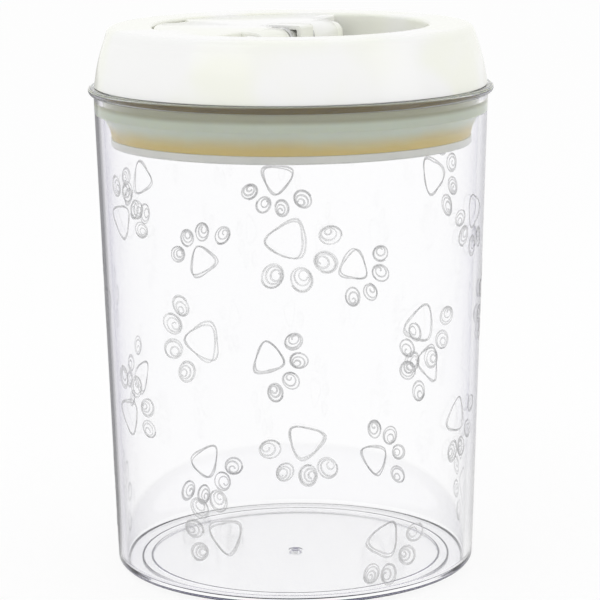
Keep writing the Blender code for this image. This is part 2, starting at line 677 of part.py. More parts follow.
def joint_frame(name, height, parent=None):
    """An empty on a joint's axis that carries the pieces which move together."""
    frame = bpy.data.objects.new(name, None)
    PARTS.objects.link(frame)
    frame.empty_display_size = 0.02
    frame.location = (0.0, 0.0, height)
    if parent:
        frame.parent = parent
        frame.location = (0.0, 0.0, height - parent.location.z)
    bpy.context.view_layer.update()
    return frame


clear_scene()
PARTS = collection("airtight_storage_jar")
CUTTERS = collection("cutters")
CLEAR_PLASTIC = material("clear_plastic", (0.93, 0.94, 0.95), 0.05, alpha=0.3)
WHITE_PLASTIC = material("white_plastic", (0.90, 0.90, 0.88), 0.2)
PALE_PLASTIC = material("pale_plastic", (0.72, 0.72, 0.68), 0.3)
SILICONE = material("silicone", (0.60, 0.58, 0.48), 0.5)
RUBBER = material("rubber", (0.08, 0.08, 0.08), 0.6)
STEEL = material("steel", (0.62, 0.62, 0.62), 0.3, metallic=1.0)
LID_FRAME = joint_frame("lid_lift_frame", LID_SEAT)
LEVER_FRAME = joint_frame("lever_flip_frame", AXLE_HEIGHT, LID_FRAME)
PLATE_FRAME = joint_frame("plate_travel_frame", PLATE_TOP, LID_FRAME)

make_jar()
make_lid_cover()
make_lid_base()
make_gasket()
make_return_spring()
make_rod_seal()
make_lid_screws()
make_bearings()
make_lever()
make_cam_axle()
make_pull_rod()
make_pressure_plate()
make_plate_fasteners()
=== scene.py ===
"""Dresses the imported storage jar: clear canister, printed wall, white lid with a lever.

Metres, +Z up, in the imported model's own frame. The hinge of the lever runs along X.
"""
import itertools
import math
import random

import bmesh
import bpy
from bpy.props import FloatProperty, FloatVectorProperty, IntProperty, PointerProperty
from mathutils import Matrix, Vector


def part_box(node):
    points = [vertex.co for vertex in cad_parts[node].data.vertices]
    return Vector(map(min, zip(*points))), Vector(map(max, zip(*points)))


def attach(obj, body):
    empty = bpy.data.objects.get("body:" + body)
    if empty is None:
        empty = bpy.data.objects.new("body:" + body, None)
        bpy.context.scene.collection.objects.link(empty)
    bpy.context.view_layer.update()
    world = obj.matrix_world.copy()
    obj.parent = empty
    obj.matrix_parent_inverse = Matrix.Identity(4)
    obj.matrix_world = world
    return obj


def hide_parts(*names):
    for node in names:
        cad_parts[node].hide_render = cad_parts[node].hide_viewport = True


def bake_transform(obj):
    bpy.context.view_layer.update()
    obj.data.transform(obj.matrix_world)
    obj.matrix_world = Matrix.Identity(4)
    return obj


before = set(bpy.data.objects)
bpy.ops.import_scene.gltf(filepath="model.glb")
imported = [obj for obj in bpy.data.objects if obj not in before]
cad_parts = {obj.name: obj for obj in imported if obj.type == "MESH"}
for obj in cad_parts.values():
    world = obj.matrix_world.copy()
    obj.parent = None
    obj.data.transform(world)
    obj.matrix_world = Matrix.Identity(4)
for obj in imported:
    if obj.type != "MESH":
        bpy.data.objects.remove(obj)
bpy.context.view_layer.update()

bl_info = {
    "name": "Storage Jar Dresser",
    "version": (1, 0, 0),
    "blender": (4, 5, 0),
    "location": "View3D > Sidebar > Jar",
    "description": "Makes the visible pieces, finishes and studio of a clear jar with a lever lid",
    "category": "Object",
}

MM = 0.001
BIG_ROUND = 240             # segments round the wide turned pieces
SMALL_ROUND = 64            # round the narrow ones
SCREW_ROUND = 48
POST_ROUND = 24
SHARP = math.radians(38.0)  # edges that bend more than this stay sharp
SIDES = (-1.0, 1.0)
ORIGIN = (0.0, 0.0)
MIDDLE_HEIGHT = 75.0 * MM   # where the print's scale and the wall's edge are measured
RESTING = "resting_place"   # each point's place at rest, kept on pieces that are given two heights as their body


def extents(node):
    """Foot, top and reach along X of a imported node."""
    low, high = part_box(node)
    return low.z, high.z, high.x


_, JAR_HEIGHT, RIM_RADIUS = extents("jar_body")
_, LID_TOP, _ = extents("lid_cover")
GUIDE_FOOT, BASE_RIM_TOP, BASE_RADIUS = extents("lid_base")
GASKET_FOOT, GASKET_TOP, _ = extents("gasket")
PLATE_UNDER, PLATE_TOP, PLATE_RADIUS = extents("pressure_plate")
CAP_UNDER, CAP_TOP, CAP_RADIUS = extents("plate_cap")
ROD_FOOT, _, _ = extents("pull_rod")
_, LEVER_TOP, _ = extents("flip_lever")
_, _, AXLE_END = extents("cam_axle")
LID_SEAT = JAR_HEIGHT + 0.08 * MM


def length(name, description, millimetres, least=0.0):
    return FloatProperty(name=name, description=description, default=millimetres * MM, min=least,
                         subtype="DISTANCE", unit="LENGTH", precision=5)


def angle(name, description, degrees):
    return FloatProperty(name=name, description=description, default=math.radians(degrees),
                         subtype="ANGLE", unit="ROTATION")


def tint(name, description, default):
    return FloatVectorProperty(name=name, description=description, default=default, size=3,
                               min=0.0, max=1.0, subtype="COLOR")


def share(name, description, default):
    return FloatProperty(name=name, description=description, default=default, min=0.0, max=1.0,
                         subtype="FACTOR")


def count(name, description, default):
    return IntProperty(name=name, description=description, default=default, min=1)


class JarSizes(bpy.types.PropertyGroup):
    """The clear canister"""
    base_radius: length("Base radius", "Outside of the wall at its foot", 56.7)
    shoulder_radius: length("Shoulder radius", "Outside of the wall under the rim", 61.3)
    shoulder_height: length("Shoulder height", "Underside of the rim", 150.4)
    wall: length("Wall", "Thickness of the wall", 2.6)
    floor_top: length("Floor", "Top of the floor", 3.0)
    foot_rise: length("Foot rise", "How far the base stands clear inside its ring", 1.3)
    foot_outer: length("Foot outer", "Outside of the foot ring", 49.3)
    foot_inner: length("Foot inner", "Inside of the foot ring", 45.8)
    floor_fillet: length("Floor fillet", "Rounding inside the floor's corner", 1.5)
    base_fillet: length("Base fillet", "Rounding outside the base's corner", 1.8)
    rim_edge: length("Rim edge", "Rounding of the rim's upper edge", 0.9)
    rim_under_edge: length("Rim under edge", "Rounding of the rim's lower edge", 1.5)
    gate_radius: length("Gate radius", "Mark left by the moulding gate", 2.2)


class PrintLook(bpy.types.PropertyGroup):
    """The line print round the wall"""
    columns: count("Columns", "Prints in one row", 6)
    rows: count("Rows", "Rows of prints", 4)
    paw: length("Paw", "Size of one paw print", 25.0)
    line: length("Line", "Width of the drawn line", 0.60)
    foot: length("Lowest", "Lower edge of the printed band", 6.0)
    top: length("Highest", "Upper edge of the printed band", 132.0)
    seed: count("Seed", "Start of the scatter", 7)


class LidSizes(bpy.types.PropertyGroup):
    """The white cover and its finger well"""
    skirt_radius: length("Skirt radius", "Lower edge of the side", 61.1)
    shoulder_radius: length("Shoulder radius", "Where the side meets the corner", 57.2)
    corner: length("Corner", "Rounding between side and top", 2.6)
    bulge: length("Bulge", "How far the side stands out from a straight taper", 0.55)
    wall: length("Wall", "Thickness of the cover", 2.2)
    well_radius: length("Well radius", "Finger well", 43.0)
    well_floor: length("Well floor", "Height of the well's floor", 157.1)
    well_hole: length("Well hole", "Opening for the rod", 11.3)
    base_under: length("Base under", "Underside of the inner housing", 149.3)
    base_top: length("Base top", "Top of the inner housing's plate", 151.7)


class LeverSizes(bpy.types.PropertyGroup):
    """The half disc lever, its crank and its rod"""
    axle_height: length("Axle height", "Height of the hinge", 166.2)
    thickness: length("Thickness", "Thickness of the lever", 3.4)
    radius: length("Radius", "Round edge of the lever", 42.3)
    start: length("Start", "Straight edge beside the hinge", 4.1)
    scoop_centre: length("Scoop centre", "Centre of the finger scoop", 46.0)
    scoop_radius: length("Scoop radius", "Radius of the finger scoop", 8.5)
    barrel_inner: length("Barrel inner end", "Hinge barrel, end next to the crank", 8.3)
    barrel_outer: length("Barrel outer end", "Hinge barrel, end next to its block", 24.7)
    web_notch: length("Web notch", "Where the lever starts beside the crank's webs", 3.4)
    rod_notch: length("Rod notch", "Where the lever starts over the rod", 7.5)
    throw: length("Throw", "Offset of the crank pin", 3.0 / math.sqrt(2.0))
    pin_radius: length("Pin radius", "Radius of the crank pin", 2.0)
    web_radius: length("Web radius", "Discs that carry the crank pin", 3.9)
    journal: length("Journal", "Half width of the axle, round in its blocks, square between", 2.0)
    rod_radius: length("Rod radius", "Radius of the pull rod", 4.0)


class Finishes(bpy.types.PropertyGroup):
    """Colours"""
    clear: tint("Clear plastic", "Tint of the canister", (0.997, 0.997, 1.0))
    ink: tint("Print", "Colour of the printed line", (0.50, 0.50, 0.505))
    worn_ink: tint("Worn print", "Colour where the print is thin", (0.56, 0.56, 0.565))
    white: tint("White plastic", "Lid and lever", (0.90, 0.90, 0.89))
    pale: tint("Pale plastic", "Pressure plate", (0.97, 0.975, 0.91))
    lip: tint("Silicone lip", "Gasket where it meets the wall", (0.81, 0.88, 0.74))
    skirt: tint("Silicone skirt", "Gasket where it thins towards the plate", (0.84, 0.66, 0.22))
    # Painted shade: the shoulder's olive is partly the silicone's own colour and partly darkened as
    # shade under the lid; the sleeve's dark colour is painted shade in the gap under the lid
    olive: tint("Silicone shoulder", "Gasket above its lip", (0.50, 0.51, 0.36))
    shaded: tint("Silicone sleeve", "Gasket round the housing", (0.22, 0.165, 0.03))
    steel: tint("Steel", "Screws, axle and spring", (0.62, 0.62, 0.61))
    rubber: tint("Seal", "Rod seal", (0.03, 0.03, 0.032))


class Studio(bpy.types.PropertyGroup):
    """Camera and light"""
    azimuth: angle("Azimuth", "Camera round the jar, from the -Y side", -63.0)
    distance: length("Distance", "Camera to the jar's axis, level", 796.97)
    height: length("Height", "Camera above the table", 240.31)
    aside: length("Aside", "Camera's step to the right", -0.67, least=-1.0)
    pitch: angle("Pitch", "How far the camera looks down", 11.089)
    roll: angle("Roll", "Turn about the line of sight", -0.548)
    yaw: angle("Yaw", "Turn to the right", 0.208)
    lens: FloatProperty(name="Lens", description="Focal length in mm on a 36 mm sensor",
                        default=154.0, min=10.0)
    ambient: share("Ambient", "Level of the studio's even light", 0.91)
    shade: share("Shade", "How much of the floor's own shading shows", 0.12)
    # What light keeps when clear plastic turns it back, at the first turn and at each further one
    inner_left: tint("First turn, left", "Kept of light from the left", (0.85, 0.84, 0.88))
    inner_right: tint("First turn, right", "Kept of light from the right", (1.0, 1.0, 1.0))
    inner_deep: tint("First turn, deep", "Kept when turned past the front wall", (0.94, 0.94, 0.94))
    inner_high: tint("First turn, high", "Kept of light from above", (0.50, 0.49, 0.68))
    further_under: tint("Further turns, under", "Kept from under the jar", (0.62, 0.62, 0.63))
    further_near: tint("Further turns, near", "Kept from close by", (0.32, 0.31, 0.38))
    further_far: tint("Further turns, far", "Kept from far off", (0.24, 0.21, 0.46))
    turns_counted: FloatProperty(name="Turns counted", description="Further turns that darken",
                                 default=1.5, min=0.0)
    flag_left: share("Left flag", "How dark the flag behind the jar's left side is", 0.62)
    flag_right: share("Right flag", "How dark the flag behind the jar's right side is", 0.12)
    # Painted shadow: how dark the floor under the foot ring shows to light turned back inside the
    # base
    foot_lines: share("Foot lines", "How dark the foot's steep sides look from inside", 0.9)
    front: share("Front", "How dark the camera's side is for what is behind clear plastic", 0.12)


def sizes(name):
    return getattr(bpy.context.scene, name)


# Outlines

def around(centre, radius, turn):
    """The point on a circle at an angle."""
    return centre[0] + radius * math.cos(turn), centre[1] + radius * math.sin(turn)


def arc(centre, radius, start, end, steps):
    """Points on a circle's arc, angles in degrees, both ends included."""
    return [around(centre, radius, math.radians(start + (end - start) * step / steps))
            for step in range(steps + 1)]


def quarter(x, y, radius, start, end, steps):
    """The arc that rounds a square corner at (x, y), a quarter turn from start to end."""
    middle = math.radians((start + end) / 2.0)
    inward = math.copysign(radius, math.cos(middle)), math.copysign(radius, math.sin(middle))
    return arc((x - inward[0], y - inward[1]), radius, start, end, steps)


def rounded_corner(corner, before, after, radius, steps=8):
    """Points that round one corner of an outline, whatever its angle."""
    corner = Vector(corner)
    back, ahead = ((Vector(other) - corner).normalized() for other in (before, after))
    half = back.angle(ahead) / 2.0
    centre = corner + (back + ahead).normalized() * radius / math.sin(half)
    first, last = (corner + way * radius / math.tan(half) - centre for way in (back, ahead))
    spokes = [first.lerp(last, step / steps).normalized() * radius for step in range(steps + 1)]
    return [tuple(spoke + centre) for spoke in spokes]


def box_outline(low, high, rounding, steps=8):
    corners = [low, (high[0], low[1]), high, (low[0], high[1])]
    return [point for index, corner in enumerate(corners) for point in
            rounded_corner(corner, corners[index - 1], corners[(index + 1) % 4], rounding, steps)]


def circle_outline(radius):
    sides = 40
    return arc(ORIGIN, radius, 0.0, 360.0 * (1.0 - 1.0 / sides), sides - 1)


def mirrored(points):
    """The same run of points on the other side, in reverse order."""
    return [(-x, y) for x, y in reversed(points)]


def spun(x, y, turn):
    """A point turned about the origin."""
    return x * math.cos(turn) - y * math.sin(turn), x * math.sin(turn) + y * math.cos(turn)


def held(profile, ring):
    """The profile with a point close to each end of its long runs wherever it turns there, so that
    smooth shading bends only in the corners."""
    close = 0.15 * MM
    least_bend = math.radians(1.5)
    long_run = 6.0 * close
    made = []
    for index, here in enumerate(profile):
        before = profile[index - 1] if ring or index else None
        after = profile[(index + 1) % len(profile)] if ring or index + 1 < len(profile) else None
        spokes = [Vector(other) - Vector(here) if other else None for other in (before, after)]
        bend = math.pi - spokes[0].angle(spokes[1]) if None not in spokes else 0.0
        beside = [[tuple(Vector(here) + spoke.normalized() * close)]
                  if bend > least_bend and spoke.length > long_run else [] for spoke in spokes]
        made += beside[0] + [here] + beside[1]
    return made


# Meshes

def link(name, data):
    """Puts a new object into the scene."""
    made = bpy.data.objects.new(name, data)
    bpy.context.scene.collection.objects.link(made)
    return made


def evaluated_mesh(drawn):
    graph = bpy.context.evaluated_depsgraph_get()
    return bpy.data.meshes.new_from_object(drawn.evaluated_get(graph))


def filled(name, build):
    """A mesh that is filled by a function, which is given the mesh under construction."""
    mesh = bpy.data.meshes.new(name)
    bm = bmesh.new()
    build(bm)
    bmesh.ops.recalc_face_normals(bm, faces=bm.faces)
    bm.to_mesh(mesh)
    bm.free()
    return mesh


def smooth(mesh):
    mesh.shade_smooth()
    mesh.set_sharp_from_angle(angle=SHARP)


def keep_resting_place(mesh):
    """Keeps each point's place at rest, in millimetres, for a finish to read."""
    places = mesh.attributes.new(RESTING, "FLOAT_VECTOR", "POINT")
    for vert, place in zip(mesh.vertices, places.data):
        place.vector = vert.co / MM


def add_piece(name, mesh, look, body, nodes):
    """A mesh becomes a piece: it gets its finish and slot, stands for its nodes, and rides on its
    body. Where two heights are given as its body, it keeps each point's place at rest and is left
    unattached."""
    piece = link(name, mesh)
    mesh.materials.clear()
    mesh.materials.append(finish(look))
    if isinstance(body, str):
        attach(piece, body)
    else:
        keep_resting_place(mesh)
        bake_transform(piece)
    if nodes:
        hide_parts(*nodes)


def built(name, build, look, body, *nodes):
    mesh = filled(name, build)
    smooth(mesh)
    add_piece(name, mesh, look, body, nodes)


def turn_profile(bm, profile, segments, ring, middle=ORIGIN):
    """Adds a profile of (radius, height) points, turned about an upright axis, to a mesh."""
    on_axis = 1e-7
    rows = []
    for radius, height in profile:
        points = 1 if radius < on_axis else segments
        rows.append([bm.verts.new((*around(middle, radius, math.tau * index / points), height))
                     for index in range(points)])
    for upper, lower in list(zip(rows, rows[1:])) + ([(rows[-1], rows[0])] if ring else []):
        for index in range(segments):
            ahead = (index + 1) % segments
            corners = dict.fromkeys([upper[index % len(upper)], upper[ahead % len(upper)],
                                     lower[ahead % len(lower)], lower[index % len(lower)]])
            if len(corners) > 2:
                bm.faces.new(list(corners))


def turned(name, profile, look, body, *nodes, segments=BIG_ROUND, ring=True, middles=(ORIGIN,)):
    """A turned piece. A ring's profile closes on itself, any other starts and ends on the axis."""
    profile = held(profile, ring)

    def build(bm):
        for middle in middles:
            turn_profile(bm, profile, segments, ring, middle)

    built(name, build, look, body, *nodes)


def bar(bm, radius, low, high, edge=0.0):
    """Adds a cylinder between two points, with rounded ends where an edge is given."""
    low = Vector(low)
    high = Vector(high)
    direction = high - low
    turn = Vector((0.0, 0.0, 1.0)).rotation_difference(direction).to_matrix().to_4x4()
    place = Matrix.Translation((low + high) / 2.0) @ turn
    made = bmesh.ops.create_cone(bm, cap_ends=True, segments=SMALL_ROUND, radius1=radius,
                                 radius2=radius, depth=direction.length, matrix=place)
    if edge:
        rims = dict.fromkeys(side for vert in made["verts"] for side in vert.link_edges
                             if any(len(face.verts) > 4 for face in side.link_faces))
        rounds = bmesh.ops.bevel(bm, geom=list(rims), offset=edge, segments=3, profile=0.5,
                                 affect="EDGES")["faces"]
        caps = dict.fromkeys(face for strip in rounds for side in strip.edges
                             for face in side.link_faces if len(face.verts) > 4)
        bmesh.ops.inset_individual(bm, faces=list(caps), thickness=edge / 3.0)


def drawn_part(runs, closed, **settings):
    """A mesh under construction that holds a curve drawn through runs of (x, y, z) points."""
    curve = bpy.data.curves.new("drawn", "CURVE")
    for key, value in settings.items():
        setattr(curve, key, value)
    for run in runs:
        spline = curve.splines.new("POLY")
        spline.points.add(len(run) - 1)
        for point, place in zip(spline.points, run):
            point.co = (*place, 1.0)
        spline.use_cyclic_u = closed
    drawn = link("drawn", curve)
    mesh = evaluated_mesh(drawn)
    bpy.data.objects.remove(drawn, do_unlink=True)
    part = bmesh.new()
    part.from_mesh(mesh)
    bpy.data.meshes.remove(mesh)
    bmesh.ops.remove_doubles(part, verts=part.verts, dist=1e-6)
    return part


def pour(part, bm):
    """Adds one mesh under construction to another."""
    mesh = bpy.data.meshes.new("part")
    part.to_mesh(mesh)
    part.free()
    bm.from_mesh(mesh)
    bpy.data.meshes.remove(mesh)


def slab(bm, outlines, thickness, place, edge=0.0, rounds=2):
    """Adds a flat filled outline with thickness. Outlines after the first are holes in it."""
    flat = math.radians(0.5)
    steep = math.radians(60.0)
    level = 1e-7
    runs = [[(across, up, 0.0) for across, up in outline] for outline in outlines]
    part = drawn_part(runs, True, dimensions="2D", fill_mode="BOTH", extrude=thickness / 2.0)
    bmesh.ops.dissolve_limit(part, angle_limit=flat, verts=part.verts, edges=part.edges)
    bmesh.ops.recalc_face_normals(part, faces=part.faces)
    if edge:
        rims = [side for side in part.edges
                if len(side.link_faces) == 2 and side.calc_face_angle() > steep
                and abs(side.verts[0].co.z - side.verts[1].co.z) < level]
        bmesh.ops.bevel(part, geom=rims, offset=edge, segments=rounds, profile=0.5, affect="EDGES",
                        clamp_overlap=True)
    bmesh.ops.triangulate(part, faces=[face for face in part.faces if len(face.verts) > 4])
    part.transform(place)
    pour(part, bm)


def facing_x(place_x, height):
    """Places an outline drawn in (Y, Z) at a given X."""
    turn = Matrix(((0.0, 0.0, 1.0), (1.0, 0.0, 0.0), (0.0, 1.0, 0.0))).to_4x4()
    return Matrix.Translation((place_x, 0.0, height)) @ turn


# Shader expressions

def combining(operation, swapped=False):
    """An operator that adds a Math node on a field and another field or number."""
    def combine(field, other):
        return field.graph.math(operation, *((other, field) if swapped else (field, other)))
    return combine


class Field:
    """A node's output that arithmetic can be written on."""
    __add__ = __radd__ = combining("ADD")
    __sub__ = combining("SUBTRACT")
    __rsub__ = combining("SUBTRACT", swapped=True)
    __mul__ = __rmul__ = combining("MULTIPLY")
    __truediv__ = combining("DIVIDE")
    __gt__ = combining("GREATER_THAN")
    or_more = combining("MAXIMUM")
    or_less = combining("MINIMUM")
    raised = combining("POWER")

    def __init__(self, graph, socket):
        self.graph = graph
        self.socket = socket

    def __abs__(self):
        return self.graph.math("ABSOLUTE", self)

    def between(self, low, high):
        """Runs smoothly from 0 at low to 1 at high."""
        values = {"Value": self, "From Min": low, "From Max": high}
        return self.graph.node("ShaderNodeMapRange", values, interpolation_type="SMOOTHSTEP")[0]


class Outputs:
    """The outputs of a node, picked by number or name."""

    def __init__(self, graph, made):
        self.graph = graph
        self.made = made

    def __getitem__(self, key):
        return Field(self.graph, Graph.find(self.made.outputs, key))


class Graph:
    """A node tree that is filled by expressions."""

    def __init__(self, tree):
        self.tree = tree
        tree.nodes.clear()

    def node(self, kind, values=None, **settings):
        """Adds a node: its settings first, then the values or links of its sockets."""
        made = self.tree.nodes.new(kind)
        for key, value in settings.items():
            setattr(made, key, value)
        for key, value in (values or {}).items():
            socket = self.find(made.inputs, key)
            if isinstance(value, Field):
                self.tree.links.new(value.socket, socket)
            else:
                socket.default_value = value
        return Outputs(self, made)

    @staticmethod
    def find(sockets, key):
        if isinstance(key, int):
            return sockets[key]
        exact = [socket for socket in sockets if socket.identifier == key]
        return (exact or [socket for socket in sockets if socket.name == key])[0]

    def math(self, operation, *values):
        return self.node("ShaderNodeMath", dict(enumerate(values)), operation=operation)[0]

    def mix(self, factor, first, second):
        """Mixes two colours."""
        values = {"Factor_Float": factor}
        for key, colour in (("A_Color", first), ("B_Color", second)):
            values[key] = colour if isinstance(colour, Field) else (*colour, 1.0)
        return self.node("ShaderNodeMix", values, data_type="RGBA")["Result_Color"]

    def place(self):
        """The point in the row frame, in millimetres."""
        point = self.node("ShaderNodeTexCoord")["Object"]
        return self.node("ShaderNodeVectorMath", {"Vector": point, "Scale": 1.0 / MM},
                         operation="SCALE")[0]

    def resting_place(self):
        """The point's place at rest, in millimetres, as kept on the piece."""
        return self.node("ShaderNodeAttribute", attribute_name=RESTING)["Vector"]

    def parts(self, vector):
        split = self.node("ShaderNodeSeparateXYZ", {"Vector": vector})
        return split[0], split[1], split[2]

    def stretched(self, vector, scales):
        return self.node("ShaderNodeVectorMath", {0: vector, 1: scales}, operation="MULTIPLY")[0]

    def noise(self, vector, scale, detail=2.0, roughness=0.5):
        return self.node("ShaderNodeTexNoise", {"Vector": vector, "Scale": scale, "Detail": detail,
                                                "Roughness": roughness})[0]

    def bump(self, height, strength, distance):
        return self.node("ShaderNodeBump", {"Height": height, "Strength": strength,
                                            "Distance": distance})[0]


# Finishes: each gives the sockets of its Principled shader

FINISHES = {}


def a_finish(build):
    """Lists a finish under its function's name."""
    FINISHES[build.__name__] = build
    return build


def toned(colour, factors):
    return tuple(part * factor for part, factor in zip(colour, factors))


@a_finish
def clear_plastic(graph, looks):
    """Polished, with faint flow lines and scuffs, satin on its floor and its lowest corner."""
    floor_edge = (51.5 ** 2, 53.5 ** 2)         # squared distances from the axis, in millimetres
    corner_edge = (53.0 ** 2, 55.0 ** 2)
    place = graph.place()
    x, y, z = graph.parts(place)
    out = x * x + y * y
    flow = graph.noise(graph.stretched(place, (1.0, 1.0, 0.25)), 0.06)
    scuff = graph.noise(place, 0.9, 3.0, 0.6).between(0.62, 0.80) * 0.02
    off_floor = abs(z - sizes("jar_sizes").floor_top / MM).between(0.2, 0.6)
    satin = (1.0 - out.between(*floor_edge)) * (1.0 - off_floor) * 0.11
    corner = (1.0 - z.between(1.6, 2.8)) * out.between(*corner_edge) * 0.16
    return {
        "Base Color": (*looks.clear, 1.0),
        "Roughness": scuff + satin + corner + 0.008,
        "IOR": 1.49,
        "Transmission Weight": 1.0,
        "Normal": graph.bump(flow, 0.05, 0.2 * MM),
    }


@a_finish
def print_ink(graph, looks):
    place = graph.place()
    patchy = graph.noise(place, 0.35, 3.0, 0.65)
    grain = graph.noise(place, 4.0)
    light = graph.mix(patchy.between(0.35, 0.7), looks.ink, looks.worn_ink)
    rubbed = (0.66, 0.66, 0.66)
    return {
        "Base Color": graph.mix(grain.between(0.45, 0.75) * 0.35, light, rubbed),
        "Roughness": grain * 0.3 + 0.35,
        "Alpha": patchy.between(0.3, 0.7) * -0.12 + 0.34,
        "Normal": graph.bump(grain, 0.1, 0.02 * MM),
    }


@a_finish
def white_plastic(graph, looks):
    place = graph.place()
    broad = graph.noise(place, 0.03)
    peel = graph.noise(place, 1.1)
    wear = graph.noise(place, 0.35, 4.0, 0.6).between(0.60, 0.78)
    warm = toned(looks.white, (0.98, 0.99, 0.91))
    return {
        "Base Color": graph.mix(broad.between(0.38, 0.58), looks.white, warm),
        "Roughness": wear * 0.10 + 0.16,
        "IOR": 1.50,
        "Normal": graph.bump(peel, 0.035, 0.05 * MM),
    }


@a_finish
def pale_plastic(graph, looks):
    place = graph.place()
    cloud = graph.noise(place, 0.08, 3.0)
    grain = graph.noise(place, 2.5)
    deep = toned(looks.pale, (0.94, 0.95, 0.96))
    return {
        "Base Color": graph.mix(cloud.between(0.35, 0.65), looks.pale, deep),
        "Roughness": grain * 0.15 + 0.25,
        "Subsurface Weight": 0.15,
        "Subsurface Radius": (0.002, 0.002, 0.0018),
        "Normal": graph.bump(grain, 0.05, 0.03 * MM),
    }


@a_finish
def silicone(graph, looks):
    """Cloudy, in bands by height: amber skirt, pale lip, olive shoulder partly darkened as painted
    shade under the lid, dark sleeve that is painted shade.
    """
    place = graph.resting_place()
    height = graph.parts(place)[2]
    cloud = graph.noise(graph.stretched(place, (1.0, 1.0, 0.5)), 0.05, 3.0)
    drift = (cloud - 0.5) * 4.0
    foot = GASKET_FOOT / MM
    top = GASKET_TOP / MM
    upper = height + drift * 0.1
    amber = 1.0 - (height + drift).between(foot + 0.6, foot + 6.4)
    body = graph.mix(amber, looks.lip, looks.skirt)
    # Partly painted shade: the shoulder under the lid turns a darker olive
    body = graph.mix(upper.between(top - 2.4, top - 0.6), body, looks.olive)
    dust = graph.noise(place, 1.6, 3.0)
    return {
        # Painted shade: the sleeve round the housing turns dark, standing for the shaded gap under
        # the lid
        "Base Color": graph.mix(upper.between(top + 1.6, top + 2.4), body, looks.shaded),
        "Roughness": dust * 0.2 + 0.35,
        "Subsurface Weight": 0.35,
        "Subsurface Radius": (0.004, 0.0035, 0.002),
        "IOR": 1.42,
        "Normal": graph.bump(dust, 0.06, 0.05 * MM),
    }


@a_finish
def steel(graph, looks):
    place = graph.place()
    brushed = graph.noise(graph.stretched(place, (0.15, 3.0, 3.0)), 1.0, 3.0)
    worn = graph.noise(place, 0.7, 3.0)
    dark = toned(looks.steel, (0.75, 0.76, 0.78))
    return {
        "Base Color": graph.mix(worn.between(0.4, 0.65), looks.steel, dark),
        "Metallic": 1.0,
        "Roughness": brushed * 0.25 + 0.18,
        "Normal": graph.bump(brushed, 0.08, 0.02 * MM),
    }


@a_finish
def seal_rubber(graph, looks):
    dust = graph.noise(graph.place(), 1.5, 4.0)
    dusty = (0.09, 0.09, 0.09)
    return {
        "Base Color": graph.mix(dust.between(0.5, 0.8), looks.rubber, dusty),
        "Roughness": dust * 0.25 + 0.45,
        "Normal": graph.bump(dust, 0.1, 0.04 * MM),
    }


def finish(name):
    """The material of a finish, made on first use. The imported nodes' own materials stay apart."""
    made = bpy.data.materials.get("dressed_" + name)
    if made is None:
        made = bpy.data.materials.new("dressed_" + name)
        made.use_nodes = True
        graph = Graph(made.node_tree)
        values = FINISHES[name](graph, sizes("finishes"))
        surface = graph.node("ShaderNodeBsdfPrincipled", values)[0]
        graph.node("ShaderNodeOutputMaterial", {"Surface": surface})
    return made


# The canister

def wall_radius(height):
    """Outside of the drafted wall."""
    jar = sizes("jar_sizes")
    rise = height / jar.shoulder_height
    return jar.base_radius + (jar.shoulder_radius - jar.base_radius) * rise


def wall_run(twelfths, inset=0.0):
    """Points on the wall at twelfths of its height."""
    heights = [step / 12.0 * sizes("jar_sizes").shoulder_height for step in twelfths]
    return [(wall_radius(height) - inset, height) for height in heights]


class JAR_OT_canister(bpy.types.Operator):
    """Make the clear canister with its rim, floor and foot ring"""
    bl_idname = "jar.canister"
    bl_label = "Canister"

    def execute(self, context):
        jar = sizes("jar_sizes")
        shoulder = jar.shoulder_height
        floor = jar.floor_top
        rise = jar.foot_rise
        inner_foot = floor + jar.floor_fillet
        corner = wall_radius(inner_foot) - jar.wall - jar.floor_fillet
        outer_radius = wall_radius(rise + jar.base_fillet)
        mouth_edge = 0.5 * MM
        neck = 0.2 * MM
        rolled = 0.7 * MM           # rounding of the foot ring
        lean = 0.02 * MM            # lean of the foot ring's sides
        gate = jar.gate_radius
        nub = 0.15 * MM
        ditch = rise + 0.3 * MM
        profile = [
            (0.0, floor), (20.0 * MM, floor), (40.0 * MM, floor), (corner + 0.3 * MM, floor),
            *arc((corner, inner_foot), jar.floor_fillet, -70.0, 0.0, 9),
            *wall_run(range(1, 13), jar.wall),
            *quarter(jar.shoulder_radius - jar.wall, JAR_HEIGHT, mouth_edge, 180.0, 90.0, 4),
            *quarter(RIM_RADIUS, JAR_HEIGHT, jar.rim_edge, 90.0, 0.0, 8),
            *quarter(RIM_RADIUS, shoulder, jar.rim_under_edge, 0.0, -90.0, 10)[1:],
            *quarter(jar.shoulder_radius, shoulder, neck, 90.0, 180.0, 4)[1:],
            *wall_run(range(11, 0, -1)),
            *quarter(outer_radius, rise, jar.base_fillet, 0.0, -90.0, 10),
            (jar.foot_outer + lean, rise),
            *quarter(jar.foot_outer, 0.0, rolled, 0.0, -90.0, 7),
            *quarter(jar.foot_inner, 0.0, rolled, -90.0, -180.0, 7),
            (jar.foot_inner - lean, rise), (35.0 * MM, rise), (20.0 * MM, rise),
            (gate, rise), (0.95 * gate, nub), (0.62 * gate, nub), (0.55 * gate, ditch),
            (0.40 * gate, ditch), (0.33 * gate, nub), (0.0, nub),
        ]
        turned("clear_canister", profile, "clear_plastic", "jar", "jar_body", ring=False)
        return {"FINISHED"}


# The print

def wobble(rng, points, strength):
    """A closed run of small changes, as in a line drawn by hand: the sum of a few waves."""
    waves = [(rng.randint(2, 5), rng.uniform(0.0, math.tau), rng.uniform(0.3, 1.0))
             for _ in range(3)]
    turns = [math.tau * index / points for index in range(points)]
    return [1.0 + strength * sum(size * math.sin(times * turn + start)
                                 for times, start, size in waves) for turn in turns]


